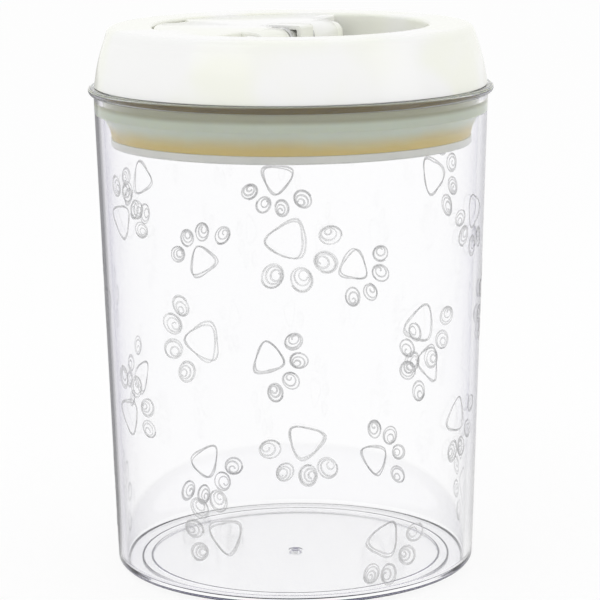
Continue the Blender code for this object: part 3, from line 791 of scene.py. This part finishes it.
def pad_loop(rng, size, centre):
    """Triangular pad with rounded corners, point up, a little askew."""
    points = 60
    tilt = rng.uniform(-0.14, 0.14)
    corner = 0.70               # reach of the rounded corners
    harder = 6.0                # how suddenly sides pass into corners
    widened = 1.05
    loop = []
    for index, change in enumerate(wobble(rng, points, 0.018)):
        turn = math.tau * index / points
        from_side = (turn - math.pi / 2.0) % (math.tau / 3.0) - math.tau / 6.0
        straight = 0.5 / math.cos(from_side)
        reach = size * change * (straight ** -harder + corner ** -harder) ** (-1.0 / harder)
        loop.append((centre[0] + reach * math.cos(turn + tilt) * widened,
                     centre[1] + reach * math.sin(turn + tilt)))
    return loop


def toe_run(rng, centre, radius, lean):
    """A toe in one stroke: round the outside, then inwards towards one side."""
    per_turn = 26
    turns = rng.uniform(2.7, 3.9)
    outside = 1.1               # turns before it goes inwards
    way = rng.choice(SIDES)
    begin = rng.uniform(0.0, math.tau)
    drift = rng.uniform(0.0, math.tau)
    smallest = rng.uniform(0.14, 0.30)
    narrow, tall = 0.90, 1.08
    shrinking = 0.05            # per turn round the outside
    hook = 0.56                 # how far the inner turns move aside
    run = []
    for index, change in enumerate(wobble(rng, round(per_turn * turns) + 1, 0.02)):
        turn = index / per_turn
        inwards = max(0.0, (turn - outside) / (turns - outside))
        scale = (1.0 - shrinking * min(turn, outside)) * (1.0 - inwards) + smallest * inwards
        aside = (1.0 - scale) * hook * radius
        bearing = begin + way * math.tau * turn
        x = radius * narrow * change * scale * math.cos(bearing) + aside * math.cos(drift)
        y = radius * tall * change * scale * math.sin(bearing) + aside * math.sin(drift)
        across, along = spun(x, y, lean)
        run.append((centre[0] + across, centre[1] + along))
    return run


def paw_lines(rng, size):
    """Lines of one paw as (points, whether closed): a pad drawn twice over and four toes."""
    pad = size * 0.375
    toe_spacing = 36.0          # degrees
    middle = (0.0, size * -0.03)
    askew = (rng.uniform(-0.06, 0.06) * pad, rng.uniform(-0.06, 0.06) * pad)
    lines = [(pad_loop(rng, pad, ORIGIN), True),
             (pad_loop(rng, pad * rng.uniform(0.91, 0.99), askew), True)]
    for spread in (-1.5, -0.5, 0.5, 1.5):
        bearing = math.radians(90.0 - spread * toe_spacing + rng.uniform(-4.0, 4.0))
        centre = around(middle, size * rng.uniform(0.47, 0.53), bearing)
        radius = size * rng.uniform(0.12, 0.14)
        lines.append((toe_run(rng, centre, radius, bearing - math.pi / 2.0), False))
    return lines


def on_wall(across, height, stand_off):
    """A point of the flat print, laid on the drafted wall."""
    turn = across / wall_radius(MIDDLE_HEIGHT)
    return *around(ORIGIN, wall_radius(height) + stand_off, turn), height


def add_line(bm, run, closed, width, pressures):
    """A ribbon with a little thickness, on the wall."""
    low = 0.02 * MM
    high = 0.05 * MM
    section = ((-1.0, low), (-0.8, high), (0.8, high), (1.0, low))
    rows = []
    for index, ((across, height), pressure) in enumerate(zip(run, pressures)):
        before = run[index - 1] if closed or index else run[0]
        after = run[(index + 1) % len(run)] if closed or index + 1 < len(run) else run[-1]
        along = Vector((after[0] - before[0], after[1] - before[1])).normalized()
        side = Vector((-along.y, along.x)) * width * pressure / 2.0
        rows.append([bm.verts.new(on_wall(across + side.x * out, height + side.y * out, stand_off))
                     for out, stand_off in section])
    for here, ahead in zip(rows, rows[1:] + (rows[:1] if closed else [])):
        for corner in range(4):
            other = (corner + 1) % 4
            bm.faces.new((here[corner], ahead[corner], ahead[other], here[other]))
    if not closed:
        bm.faces.new(rows[0])
        bm.faces.new(rows[-1])


class JAR_OT_print(bpy.types.Operator):
    """Make the scattered line print on the outside of the wall"""
    bl_idname = "jar.print"
    bl_label = "Print"

    def execute(self, context):
        look = sizes("print_look")
        rng = random.Random(look.seed)
        column = math.tau * wall_radius(MIDDLE_HEIGHT) / look.columns
        row_height = (look.top - look.foot) / look.rows

        def build(bm):
            for row, place in itertools.product(range(look.rows), range(look.columns)):
                across = (place + 0.5 * (row % 2) + rng.uniform(-0.12, 0.12)) * column
                height = look.foot + (row + 0.5 + rng.uniform(-0.10, 0.10)) * row_height
                turn = rng.uniform(-math.pi, math.pi)
                size = look.paw * rng.uniform(0.88, 1.06)
                for line, closed in paw_lines(rng, size):
                    spun_line = [spun(*point, turn) for point in line]
                    laid = [(across + x, height + y) for x, y in spun_line]
                    add_line(bm, laid, closed, look.line * rng.uniform(0.85, 1.15),
                             wobble(rng, len(laid), 0.14))

        built("wall_print", build, "print_ink", "jar")
        return {"FINISHED"}


# The lid

def cover_side(height):
    """Outside of the cover's gently bulged side."""
    lid = sizes("lid_sizes")
    rise = (height - LID_SEAT) / (LID_TOP - lid.corner - LID_SEAT)
    straight = lid.skirt_radius + (lid.shoulder_radius - lid.skirt_radius) * rise
    return straight + lid.bulge * math.sin(math.pi * rise)


def screw_places():
    """Where the lid's four screws stand, halfway between the axes."""
    circle = 48.6 * MM
    return [around(ORIGIN, circle, math.tau * (index + 0.5) / 4) for index in range(4)]


def block_screw_places():
    """Where the four screws of the bearing blocks stand."""
    middle = 27.5 * MM
    offset = 4.6 * MM
    return [(side * middle, depth * offset) for side in SIDES for depth in SIDES]


class JAR_OT_cover(bpy.types.Operator):
    """Make the white cover with its finger well"""
    bl_idname = "jar.cover"
    bl_label = "Lid cover"

    def execute(self, context):
        lid = sizes("lid_sizes")
        shoulder = LID_TOP - lid.corner
        skirt_edge = 0.3 * MM
        drop = LID_SEAT + skirt_edge - shoulder
        steps = 16
        heights = [shoulder + drop * step / steps for step in range(1, steps)]
        corner_radius = cover_side(shoulder) - lid.corner
        well_wall = lid.well_radius + lid.wall
        ceiling = LID_TOP - lid.wall
        under = lid.well_floor - 2.0 * MM
        hole = lid.well_hole
        collar = lid.well_floor + 0.9 * MM
        profile = [
            *quarter(lid.well_radius, LID_TOP, 1.0 * MM, 180.0, 90.0, 6),
            *arc((corner_radius, shoulder), lid.corner, 90.0, 12.0, 10),
            *[(cover_side(height), height) for height in heights],
            *quarter(cover_side(LID_SEAT + skirt_edge), LID_SEAT, skirt_edge, 0.0, -90.0, 4),
            (lid.skirt_radius - lid.wall, LID_SEAT),
            *[(cover_side(height) - lid.wall, height) for height in reversed(heights[::3])],
            (corner_radius, ceiling), (well_wall, ceiling), (well_wall, under), (hole, under),
            (hole, collar - 0.2 * MM), (hole + 0.2 * MM, collar), (hole + 1.1 * MM, collar),
            (hole + 1.4 * MM, collar - 0.3 * MM), (hole + 1.5 * MM, lid.well_floor),
            *quarter(lid.well_radius, lid.well_floor, 1.2 * MM, -90.0, 0.0, 6),
        ]
        turned("lid_shell", profile, "white_plastic", "lid", "lid_cover")
        inner = 1.5 * MM
        outer = 3.2 * MM
        foot = lid.base_top + 0.3 * MM
        post = [(inner, ceiling + 0.1 * MM), (outer, ceiling + 0.1 * MM), (outer, foot + 0.3 * MM),
                (outer - 0.3 * MM, foot), (inner, foot)]
        turned("lid_screw_posts", post, "white_plastic", "lid", segments=POST_ROUND,
               middles=screw_places())
        return {"FINISHED"}


class JAR_OT_inner_housing(bpy.types.Operator):
    """Make the lid's inner housing with the rod's guide"""
    bl_idname = "jar.inner_housing"
    bl_label = "Inner housing"

    def execute(self, context):
        lid = sizes("lid_sizes")
        edge = 0.4 * MM
        guide = 5.9 * MM
        bore = sizes("lever_sizes").rod_radius + 0.3 * MM
        chamfer = 0.2 * MM
        boss = 9.0 * MM
        guide_top = 154.9 * MM
        seat = 152.6 * MM           # the rod seal lies on it
        seat_radius = 6.4 * MM
        rim = BASE_RADIUS - 2.0 * MM
        profile = [
            (seat_radius, guide_top), (boss - edge, guide_top), (boss, guide_top - edge),
            *quarter(boss, lid.base_top, 0.8 * MM, 180.0, 270.0, 4),
            (rim, lid.base_top), (rim, BASE_RIM_TOP),
            (BASE_RADIUS - edge, BASE_RIM_TOP), (BASE_RADIUS, BASE_RIM_TOP - edge),
            *quarter(BASE_RADIUS, lid.base_under, edge, 0.0, -90.0, 4),
            (50.0 * MM, lid.base_under), (30.0 * MM, lid.base_under),
            *quarter(guide, lid.base_under, 0.5 * MM, 90.0, 180.0, 3),
            (guide, GUIDE_FOOT + edge), (guide - edge, GUIDE_FOOT), (bore + chamfer, GUIDE_FOOT),
            (bore, GUIDE_FOOT + chamfer), (bore, seat), (seat_radius, seat),
        ]
        turned("inner_housing", profile, "white_plastic", "lid", "lid_base")
        return {"FINISHED"}


class JAR_OT_gasket(bpy.types.Operator):
    """Make the silicone gasket, pressed on the wall at its lip"""
    bl_idname = "jar.gasket"
    bl_label = "Gasket"

    def execute(self, context):
        lip_top = 147.9 * MM
        lip_foot = 144.8 * MM
        pressed = 0.06 * MM
        lip, lip_high = (wall_radius(height) - sizes("jar_sizes").wall + pressed
                         for height in (lip_foot, lip_top))
        skirt = PLATE_RADIUS - 0.3 * MM
        foot = PLATE_TOP + 0.02 * MM
        # The sleeve round the housing is a dark sheet that carries painted shade: it stands for the
        # shaded gap under the lid
        shade_sleeve_in = BASE_RADIUS + 0.04 * MM
        shade_sleeve_out = BASE_RADIUS + 0.40 * MM
        shade_sleeve_top = LID_SEAT - 0.8 * MM
        profile = [
            (lip_high - 2.6 * MM, GASKET_TOP), (shade_sleeve_in, GASKET_TOP), (shade_sleeve_in, shade_sleeve_top),
            (shade_sleeve_out, shade_sleeve_top), (shade_sleeve_out, GASKET_TOP - 0.1 * MM), (lip_high, lip_top),
            (lip, lip_foot), (lip - 0.5 * MM, lip_foot - 0.9 * MM),
            (skirt + 0.5 * MM, GASKET_FOOT + 2.4 * MM),
            *quarter(skirt, foot, 0.2 * MM, 0.0, -90.0, 5),
            (skirt - 4.6 * MM, foot), (lip - 4.2 * MM, lip_foot), (skirt - 4.0 * MM, GASKET_TOP),
        ]
        turned("silicone_gasket", profile, "silicone", (lip_top, GASKET_FOOT), "gasket")
        return {"FINISHED"}


class JAR_OT_pressure_plate(bpy.types.Operator):
    """Make the pressure plate, its cap and washer"""
    bl_idname = "jar.pressure_plate"
    bl_label = "Pressure plate"

    def execute(self, context):
        hole = 1.9 * MM
        bead = PLATE_RADIUS - 3.4 * MM
        bead_round = 0.35 * MM
        dish = 0.7 * MM
        dished = PLATE_UNDER + dish
        hub = 11.0 * MM
        profile = [
            (hole, PLATE_TOP),
            *quarter(PLATE_RADIUS, PLATE_TOP, 0.25 * MM, 90.0, 0.0, 4),
            *quarter(PLATE_RADIUS, PLATE_UNDER, 0.7 * MM, 0.0, -90.0, 6),
            *arc((bead, PLATE_UNDER + bead_round), bead_round, 270.0, 200.0, 4),
            (bead - dish, dished),
            *[(radius * MM, dished) for radius in (44.0, 43.4, 30.0, 29.4)],
            (hub + dish, dished), (hub, PLATE_UNDER), (hole, PLATE_UNDER),
        ]
        turned("pressure_disc", profile, "pale_plastic", "plate", "pressure_plate")

        inside = CAP_RADIUS - 1.4 * MM
        ceiling = CAP_UNDER + 1.2 * MM
        cap = [
            (0.0, ceiling), (inside, ceiling), (inside, CAP_TOP),
            *quarter(CAP_RADIUS, CAP_TOP, 0.3 * MM, 90.0, 0.0, 3),
            *quarter(CAP_RADIUS, CAP_UNDER, 1.1 * MM, 0.0, -90.0, 6),
            (3.0 * MM, CAP_UNDER), (2.4 * MM, CAP_UNDER + 0.3 * MM), (0.0, CAP_UNDER + 0.4 * MM),
        ]
        turned("plate_hub_cap", cap, "pale_plastic", "plate", "plate_cap", segments=SMALL_ROUND,
               ring=False)

        low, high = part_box("plate_washer")
        edge = 0.2 * MM
        washer = [(hole, high.z), *quarter(high.x, high.z, edge, 90.0, 0.0, 3),
                  *quarter(high.x, low.z, edge, 0.0, -90.0, 3), (hole, low.z)]
        turned("rod_washer", washer, "steel", "plate", "plate_washer", segments=SMALL_ROUND)
        return {"FINISHED"}


# The lever and what it works

def lever_outline(lever):
    """Half disc: a finger scoop in its round edge, room for crank and rod in its straight edge."""
    corner = 2.5 * MM
    corner_turn = 5.0           # degrees of the round edge that the corner takes up
    inset = 0.25 * MM
    rod_half = 5.0 * MM
    radius = lever.radius
    start = lever.start
    scoop_at = lever.scoop_centre
    reach = math.sqrt(radius ** 2 - start ** 2)
    first = math.degrees(math.asin(start / radius)) + corner_turn
    along = (radius ** 2 - lever.scoop_radius ** 2 + scoop_at ** 2) / (2.0 * scoop_at)
    across = math.sqrt(radius ** 2 - along ** 2)
    meet = math.degrees(math.atan2(along, across))
    dip = math.degrees(math.atan2(along - scoop_at, across))
    right = arc(ORIGIN, radius, first, meet - 1.0, 40)
    scoop = arc((0.0, scoop_at), lever.scoop_radius, dip - 4.0, -176.0 - dip, 30)
    corner_right = rounded_corner((reach, start), (0.0, start), right[0], corner)
    inner = lever.barrel_inner + inset
    outer = lever.barrel_outer - inset
    hinge = [(-outer, start), (-outer, inset), (-inner, inset), (-inner, lever.web_notch),
             (-rod_half, lever.web_notch), (-rod_half, lever.rod_notch)]
    outline = mirrored(corner_right) + hinge + mirrored(hinge) + corner_right
    return outline + right[1:] + scoop + mirrored(right)[:-1]


def barrel_outline(radius, room):
    """A knuckle whose key slot is open below, in (depth, height) about the axle."""
    open_at = math.degrees(math.asin(room / radius))
    return [*arc(ORIGIN, radius, open_at - 90.0, 270.0 - open_at, 48), (-room, room), (room, room)]


class JAR_OT_lever(bpy.types.Operator):
    """Make the half disc lever with its hinge barrels"""
    bl_idname = "jar.lever"
    bl_label = "Lever"

    def execute(self, context):
        lever = sizes("lever_sizes")
        barrel = LEVER_TOP - lever.axle_height - 0.1 * MM
        room = lever.journal + 0.3 * MM
        span = lever.barrel_outer - lever.barrel_inner

        def build(bm):
            middle = LEVER_TOP - lever.thickness / 2.0
            slab(bm, [lever_outline(lever)], lever.thickness,
                 Matrix.Translation((0.0, 0.0, middle)), 0.7 * MM, 4)
            for side in SIDES:
                place = facing_x(side * (lever.barrel_inner + span / 2.0), lever.axle_height)
                slab(bm, [barrel_outline(barrel, room)], span, place, 0.3 * MM)

        built("lever_flap", build, "white_plastic", "lever", "flip_lever")
        return {"FINISHED"}


def crank_line(throw_share):
    """Place of the crank pin, or of a point on the way to it, seen along the axle."""
    lever = sizes("lever_sizes")
    offset = lever.throw / math.sqrt(2.0) * throw_share
    return -offset, lever.axle_height + offset


def build_bush(bm):
    """Thin plastic sleeve on the crank pin, where the stirrup slides."""
    half = 5.2 * MM
    pin = crank_line(1.0)
    bar(bm, sizes("lever_sizes").pin_radius + 0.06 * MM, (-half, *pin), (half, *pin))


def build_axle(bm):
    """Crank pin between two discs, square where the lever grips it, round in the blocks."""
    lever = sizes("lever_sizes")
    pin = crank_line(1.0)
    web = crank_line(0.5)
    centre = (0.0, lever.axle_height)
    pin_half = 6.2 * MM
    web_inner = 6.0 * MM
    web_outer = 8.0 * MM
    overlap = 1.0 * MM
    edge = 0.3 * MM
    key_start = web_outer - overlap
    key_end = lever.barrel_outer - 0.3 * MM
    end_start = key_end - overlap
    key = box_outline((-lever.journal, -lever.journal), (lever.journal, lever.journal), edge, 3)
    bar(bm, lever.pin_radius, (-pin_half, *pin), (pin_half, *pin))
    for side in SIDES:
        bar(bm, lever.web_radius, (side * web_inner, *web), (side * web_outer, *web), edge)
        slab(bm, [key], key_end - key_start,
             facing_x(side * (key_start + key_end) / 2.0, lever.axle_height))
        bar(bm, lever.journal, (side * end_start, *centre), (side * AXLE_END, *centre), edge)


class JAR_OT_crank(bpy.types.Operator):
    """Make the crank axle and the two blocks that carry it"""
    bl_idname = "jar.crank"
    bl_label = "Crank axle"

    def execute(self, context):
        lever = sizes("lever_sizes")
        built("crank_axle", build_axle, "steel", "lever", "cam_axle")
        built("crank_bush", build_bush, "white_plastic", "lever")
        lug = 3.7 * MM
        shoulder = 165.0 * MM - lever.axle_height
        bore = circle_outline(lever.journal + 0.3 * MM)
        for hand in ("left", "right"):
            low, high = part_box("axle_bearing_" + hand)
            foot = low.z - lever.axle_height
            outline = [(-lug, shoulder), (low.y, shoulder), (low.y, foot), (high.y, foot),
                       (high.y, shoulder), (lug, shoulder), *arc(ORIGIN, lug, 0.0, 180.0, 30)]
            place = facing_x((low.x + high.x) / 2.0, lever.axle_height)

            def build(bm, outline=outline, width=high.x - low.x, place=place):
                slab(bm, [outline, bore], width, place, 0.35 * MM)

            built("bearing_block_" + hand, build, "white_plastic", "lid", "axle_bearing_" + hand)
        return {"FINISHED"}


class JAR_OT_pull_rod(bpy.types.Operator):
    """Make the rod with its stirrup, the return spring and the rod seal"""
    bl_idname = "jar.pull_rod"
    bl_label = "Pull rod"

    def execute(self, context):
        lever = sizes("lever_sizes")
        base_under = sizes("lid_sizes").base_under
        room = 0.3 * MM
        pin_height = crank_line(1.0)[1]
        half = lever.throw + lever.pin_radius + room
        low = pin_height - lever.pin_radius - room
        high = pin_height + lever.pin_radius + room
        side = 1.4 * MM
        thick = 1.2 * MM
        width = 8.4 * MM
        outer = box_outline((-half - side, low - thick), (half + side, high + thick), 1.0 * MM)
        window = box_outline((-half, low), (half, high), 0.5 * MM)
        core = 1.8 * MM
        edge = 0.3 * MM
        stem_top = low - thick / 2.0
        rod = lever.rod_radius
        stem = [(core, ROD_FOOT), (rod - edge, ROD_FOOT), (rod, ROD_FOOT + edge), (rod, stem_top),
                (core, stem_top)]

        def build_rod(bm):
            slab(bm, [outer, window], width, facing_x(0.0, 0.0), edge)
            turn_profile(bm, stem, SMALL_ROUND, True)

        def build_coil(bm):
            wire = 0.55 * MM
            radius = 7.2 * MM
            per_turn = 28
            points = 5 * per_turn
            foot = GASKET_FOOT + wire
            rise = base_under - room - wire - foot
            run = [(*around(ORIGIN, radius, math.tau * index / per_turn),
                    foot + rise * index / points) for index in range(points + 1)]
            pour(drawn_part([run], False, dimensions="3D", bevel_depth=wire, bevel_resolution=3,
                            use_fill_caps=True), bm)

        built("stirrup_rod", build_rod, "white_plastic", "plate", "pull_rod")
        built("return_coil", build_coil, "steel", (base_under, GASKET_FOOT), "return_spring")

        seal_low, seal_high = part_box("rod_seal")
        cord = (seal_high.z - seal_low.z) / 2.0
        seal = arc((seal_high.x - cord, (seal_low.z + seal_high.z) / 2.0), cord, 0.0, -345.0, 23)
        turned("rod_ring_seal", seal, "seal_rubber", "lid", "rod_seal", segments=SMALL_ROUND)
        return {"FINISHED"}


def screw_mesh(name, head, foot, tip, place):
    """Pan head below with a cross recess, threaded shank above."""
    shank = head * 0.47
    core = shank * 0.80
    pitch = 0.8 * MM
    flank = pitch * 0.3
    under_head = foot + 1.6 * MM
    recess = 0.8 * MM
    arm, slot, flare = head * 0.62, head * 0.13, head * 0.155
    profile = [(0.0, tip), (shank * 0.35, tip)]
    height = tip - pitch
    while height > under_head + pitch:
        profile += [(core, height + flank), (shank, height), (core, height - flank)]
        height -= pitch
    profile += [(shank * 0.9, under_head), (head, under_head),
                *quarter(head, foot, 0.7 * MM, 0.0, -90.0, 5)]
    cross = [spun(*point, math.pi / 2.0 * quarter_turn) for quarter_turn in range(4)
             for point in ((arm, -slot), (arm, slot), (flare, flare))]

    def build(bm):
        turn_profile(bm, profile, SCREW_ROUND, False, place)
        bmesh.ops.contextual_create(bm, geom=[side for side in bm.edges if side.is_boundary])

    def build_recess(bm):
        slab(bm, [cross], 2.0 * recess, Matrix.Translation((*place, foot)))

    blank = link("blank", filled(name, build))
    tool = link("recess", filled("recess", build_recess))
    step = blank.modifiers.new("recess", "BOOLEAN")
    step.operation = "DIFFERENCE"
    step.object = tool
    done = evaluated_mesh(blank)
    for spent in (blank, tool):
        bpy.data.objects.remove(spent, do_unlink=True)
    smooth(done)
    return done


class JAR_OT_screws(bpy.types.Operator):
    """Make the cross-head screws"""
    bl_idname = "jar.screws"
    bl_label = "Screws"

    def execute(self, context):
        kinds = (("housing_screw_{}", "lid_screw_{}", "lid", screw_places()),
                 ("block_screw_{}", "bearing_screw_{}", "lid", block_screw_places()),
                 ("rod_screw", "plate_screw", "plate", [ORIGIN]))
        for names, nodes, body, places in kinds:
            for number, place in enumerate(places, start=1):
                name = names.format(number)
                node = nodes.format(number)
                foot, tip, reach = extents(node)
                mesh = screw_mesh(name, reach - place[0], foot, tip, place)
                add_piece(name, mesh, "steel", body, [node])
        return {"FINISHED"}


# The studio

FRONT = (0.2, 0.8)          # cosines of the angle to the camera's side, from none of it to all
LAMPS = (
    ("key_panel", (-0.55, -0.55, 0.75), (0.6, 0.6), 0.95),
    ("side_panel", (0.75, -0.35, 0.45), (0.4, 0.6), 0.5),
    ("top_panel", (0.05, 0.35, 0.95), (0.7, 0.5), 0.4),
)


def seen_white(graph, studio, front, first_tints, further_tint):
    """The white that the camera, gloss and clear plastic see. Light that was turned back inside
    clear plastic keeps less of it at each turn, which gives edges and rims their darker lines.
    The share front is 1 where the camera stands: from there what is behind plastic gets less."""
    path = graph.node("ShaderNodeLightPath")
    entered = path["Transmission Depth"] > 0.5
    beyond = path["Transmission Depth"] > 2.5
    lighting = (path["Diffuse Depth"] > 0.5) * entered
    turns = path["Glossy Depth"] * entered * (1.0 - lighting)
    first_turn = turns.or_less(1.0)
    further = (turns - 1.0).or_more(0.0).or_less(studio.turns_counted)
    dimmed = 1.0 - lighting * front * studio.front
    kept = [(first + beyond * (deep - first)).raised(first_turn)
            * graph.math("POWER", again, further) * dimmed
            for first, deep, again in zip(first_tints, studio.inner_deep, further_tint)]
    keep = graph.node("ShaderNodeCombineColor", dict(enumerate(kept)))[0]
    seen = path["Is Camera Ray"].or_more(path["Is Glossy Ray"]).or_more(path["Is Transmission Ray"])
    return keep, seen, entered, path["Glossy Depth"] > 0.5, beyond


def floor_material(studio):
    """Pale floor that shows white, with the tints that clear plastic picks up from it. Its own
    coordinates turn with the camera: x to the right, y away, in millimetres from the jar."""
    pale = (0.95, 0.95, 0.95, 1.0)
    nearly_black = (0.02, 0.02, 0.03)
    material = bpy.data.materials.new("pale_floor")
    material.use_nodes = True
    graph = Graph(material.node_tree)
    x, y, _ = graph.parts(graph.place())
    out_squared = x * x + y * y
    out = out_squared.raised(0.5)
    lid = LID_SEAT / MM
    close_by, far_off = (64.0, 80.0), (90.0, 260.0)
    foot_starts, foot_ends, gate_ends = (45.0, 45.6), (59.0, 62.0), (2.6, 3.2)
    wedge_starts, wedge_ends = ([math.radians(degrees) for degrees in pair]
                                for pair in ((4.0, 7.0), (24.0, 30.0)))
    front = ((0.0 - y) / (out_squared + lid * lid).raised(0.5)).between(*FRONT)
    across = x.between(-90.0, 90.0)
    first = [across * (right - left) + left
             for left, right in zip(studio.inner_left, studio.inner_right)]
    near = out.between(*close_by)
    far = out.between(*far_off)
    further = [far * (off - close) + near * (close - under) + under for under, close, off
               in zip(studio.further_under, studio.further_near, studio.further_far)]
    keep, seen, entered, turned_back, beyond = seen_white(graph, studio, front, first, further)
    edge = wall_radius(MIDDLE_HEIGHT) / MM

    def flag(side, depth):
        """Dark wedge of floor behind one side of the jar, seen mirrored in the wall's edge."""
        bearing = graph.math("ARCTAN2", x * side - edge, y)
        return bearing.between(*wedge_starts) * (1.0 - bearing.between(*wedge_ends)) * depth

    flags = flag(-1.0, studio.flag_left) + flag(1.0, studio.flag_right)
    shown_white = graph.mix(flags * turned_back * (1.0 - beyond), keep, (0.0, 0.0, 0.0))
    # Painted shadow: the floor under the foot ring and the gate shows nearly black to light turned
    # back deep inside the base, which draws the foot's dark lines
    foot_shadow = out.between(*foot_starts) * (1.0 - out.between(*foot_ends))
    gate_shadow = 1.0 - out.between(*gate_ends)
    shown_white = graph.mix((foot_shadow + gate_shadow) * turned_back * beyond * studio.foot_lines,
                            shown_white, nearly_black)
    lit = graph.node("ShaderNodeBsdfDiffuse", {"Color": pale})[0]
    glow = graph.node("ShaderNodeEmission", {"Color": shown_white, "Strength": 1.0})[0]
    white_share = seen * (entered * studio.shade + (1.0 - studio.shade))
    shown = graph.node("ShaderNodeMixShader", {0: white_share, 1: lit, 2: glow})[0]
    graph.node("ShaderNodeOutputMaterial", {"Surface": shown})
    return material


def make_floor(studio, turn):
    half_size = 3.0
    mesh = bpy.data.meshes.new("floor")
    bm = bmesh.new()
    bmesh.ops.create_grid(bm, x_segments=8, y_segments=8, size=half_size)
    bm.to_mesh(mesh)
    bm.free()
    mesh.materials.append(floor_material(studio))
    floor = link("floor", mesh)
    floor.matrix_world = Matrix.Translation((0.0, 0.0, -0.01 * MM)) @ turn


def make_world(scene, studio, turn):
    world = bpy.data.worlds.new("studio")
    scene.world = world
    world.use_nodes = True
    graph = Graph(world.node_tree)
    direction = graph.node("ShaderNodeTexCoord")["Generated"]
    camera_side = tuple(turn.to_3x3() @ Vector((0.0, -1.0, 0.0)))
    front = graph.node("ShaderNodeVectorMath", {0: direction, 1: camera_side},
                       operation="DOT_PRODUCT")["Value"].between(*FRONT)
    keep, seen, *_ = seen_white(graph, studio, front, studio.inner_high, studio.further_far)
    colour = graph.mix(seen, (studio.ambient,) * 3, keep)
    back = graph.node("ShaderNodeBackground", {"Color": colour, "Strength": 1.0})[0]
    graph.node("ShaderNodeOutputWorld", {"Surface": back})


def make_lamp(name, place, size, power):
    lamp = bpy.data.lights.new(name, "AREA")
    lamp.shape = "RECTANGLE"
    lamp.size, lamp.size_y = size
    lamp.energy = power
    panel = link(name, lamp)
    panel.location = place
    aim = Vector((0.0, 0.0, 100.0 * MM)) - place
    panel.rotation_euler = aim.to_track_quat("-Z", "Y").to_euler()


def make_camera(scene, studio, turn):
    data = bpy.data.cameras.new("portrait_camera")
    data.lens = studio.lens
    data.sensor_width = 36.0
    data.clip_start = 0.05
    camera = link("portrait_camera", data)
    stand = Matrix.Translation((studio.aside, -studio.distance, studio.height))
    look = (Matrix.Rotation(-studio.yaw, 4, "Z")
            @ Matrix.Rotation(math.pi / 2.0 - studio.pitch, 4, "X")
            @ Matrix.Rotation(studio.roll, 4, "Z"))
    camera.matrix_world = turn @ stand @ look
    scene.camera = camera


class JAR_OT_stage(bpy.types.Operator):
    """Make the floor, the light and the camera"""
    bl_idname = "jar.stage"
    bl_label = "Stage"

    def execute(self, context):
        scene = context.scene
        studio = sizes("studio")
        turn = Matrix.Rotation(studio.azimuth, 4, "Z")
        make_floor(studio, turn)
        make_world(scene, studio, turn)
        for name, place, size, power in LAMPS:
            make_lamp(name, turn @ Vector(place), size, power)
        make_camera(scene, studio, turn)
        scene.view_settings.view_transform = "Standard"
        return {"FINISHED"}


class JAR_PT_panel(bpy.types.Panel):
    """Buttons for each piece of the jar"""
    bl_idname = "JAR_PT_panel"
    bl_label = "Storage jar"
    bl_space_type = "VIEW_3D"
    bl_region_type = "UI"
    bl_category = "Jar"

    def draw(self, context):
        for operator in OPERATORS:
            self.layout.operator(operator.bl_idname)
        for name, group in GROUPS.items():
            box = self.layout.box()
            box.label(text=name)
            for key in group.__annotations__:
                box.prop(getattr(context.scene, name), key)


OPERATORS = (JAR_OT_stage, JAR_OT_canister, JAR_OT_print, JAR_OT_cover, JAR_OT_inner_housing,
             JAR_OT_gasket, JAR_OT_pressure_plate, JAR_OT_lever, JAR_OT_crank, JAR_OT_pull_rod,
             JAR_OT_screws)
GROUPS = {"jar_sizes": JarSizes, "print_look": PrintLook, "lid_sizes": LidSizes,
          "lever_sizes": LeverSizes, "finishes": Finishes, "studio": Studio}


def register():
    for name, group in GROUPS.items():
        bpy.utils.register_class(group)
        setattr(bpy.types.Scene, name, PointerProperty(type=group))
    for kind in (*OPERATORS, JAR_PT_panel):
        bpy.utils.register_class(kind)


def unregister():
    for kind in reversed((*OPERATORS, JAR_PT_panel)):
        bpy.utils.unregister_class(kind)
    for name, group in reversed(list(GROUPS.items())):
        delattr(bpy.types.Scene, name)
        bpy.utils.unregister_class(group)


def main():
    register()
    for operator in OPERATORS:
        group, name = operator.bl_idname.split(".")
        getattr(getattr(bpy.ops, group), name)()


if __name__ == "__main__":
    main()
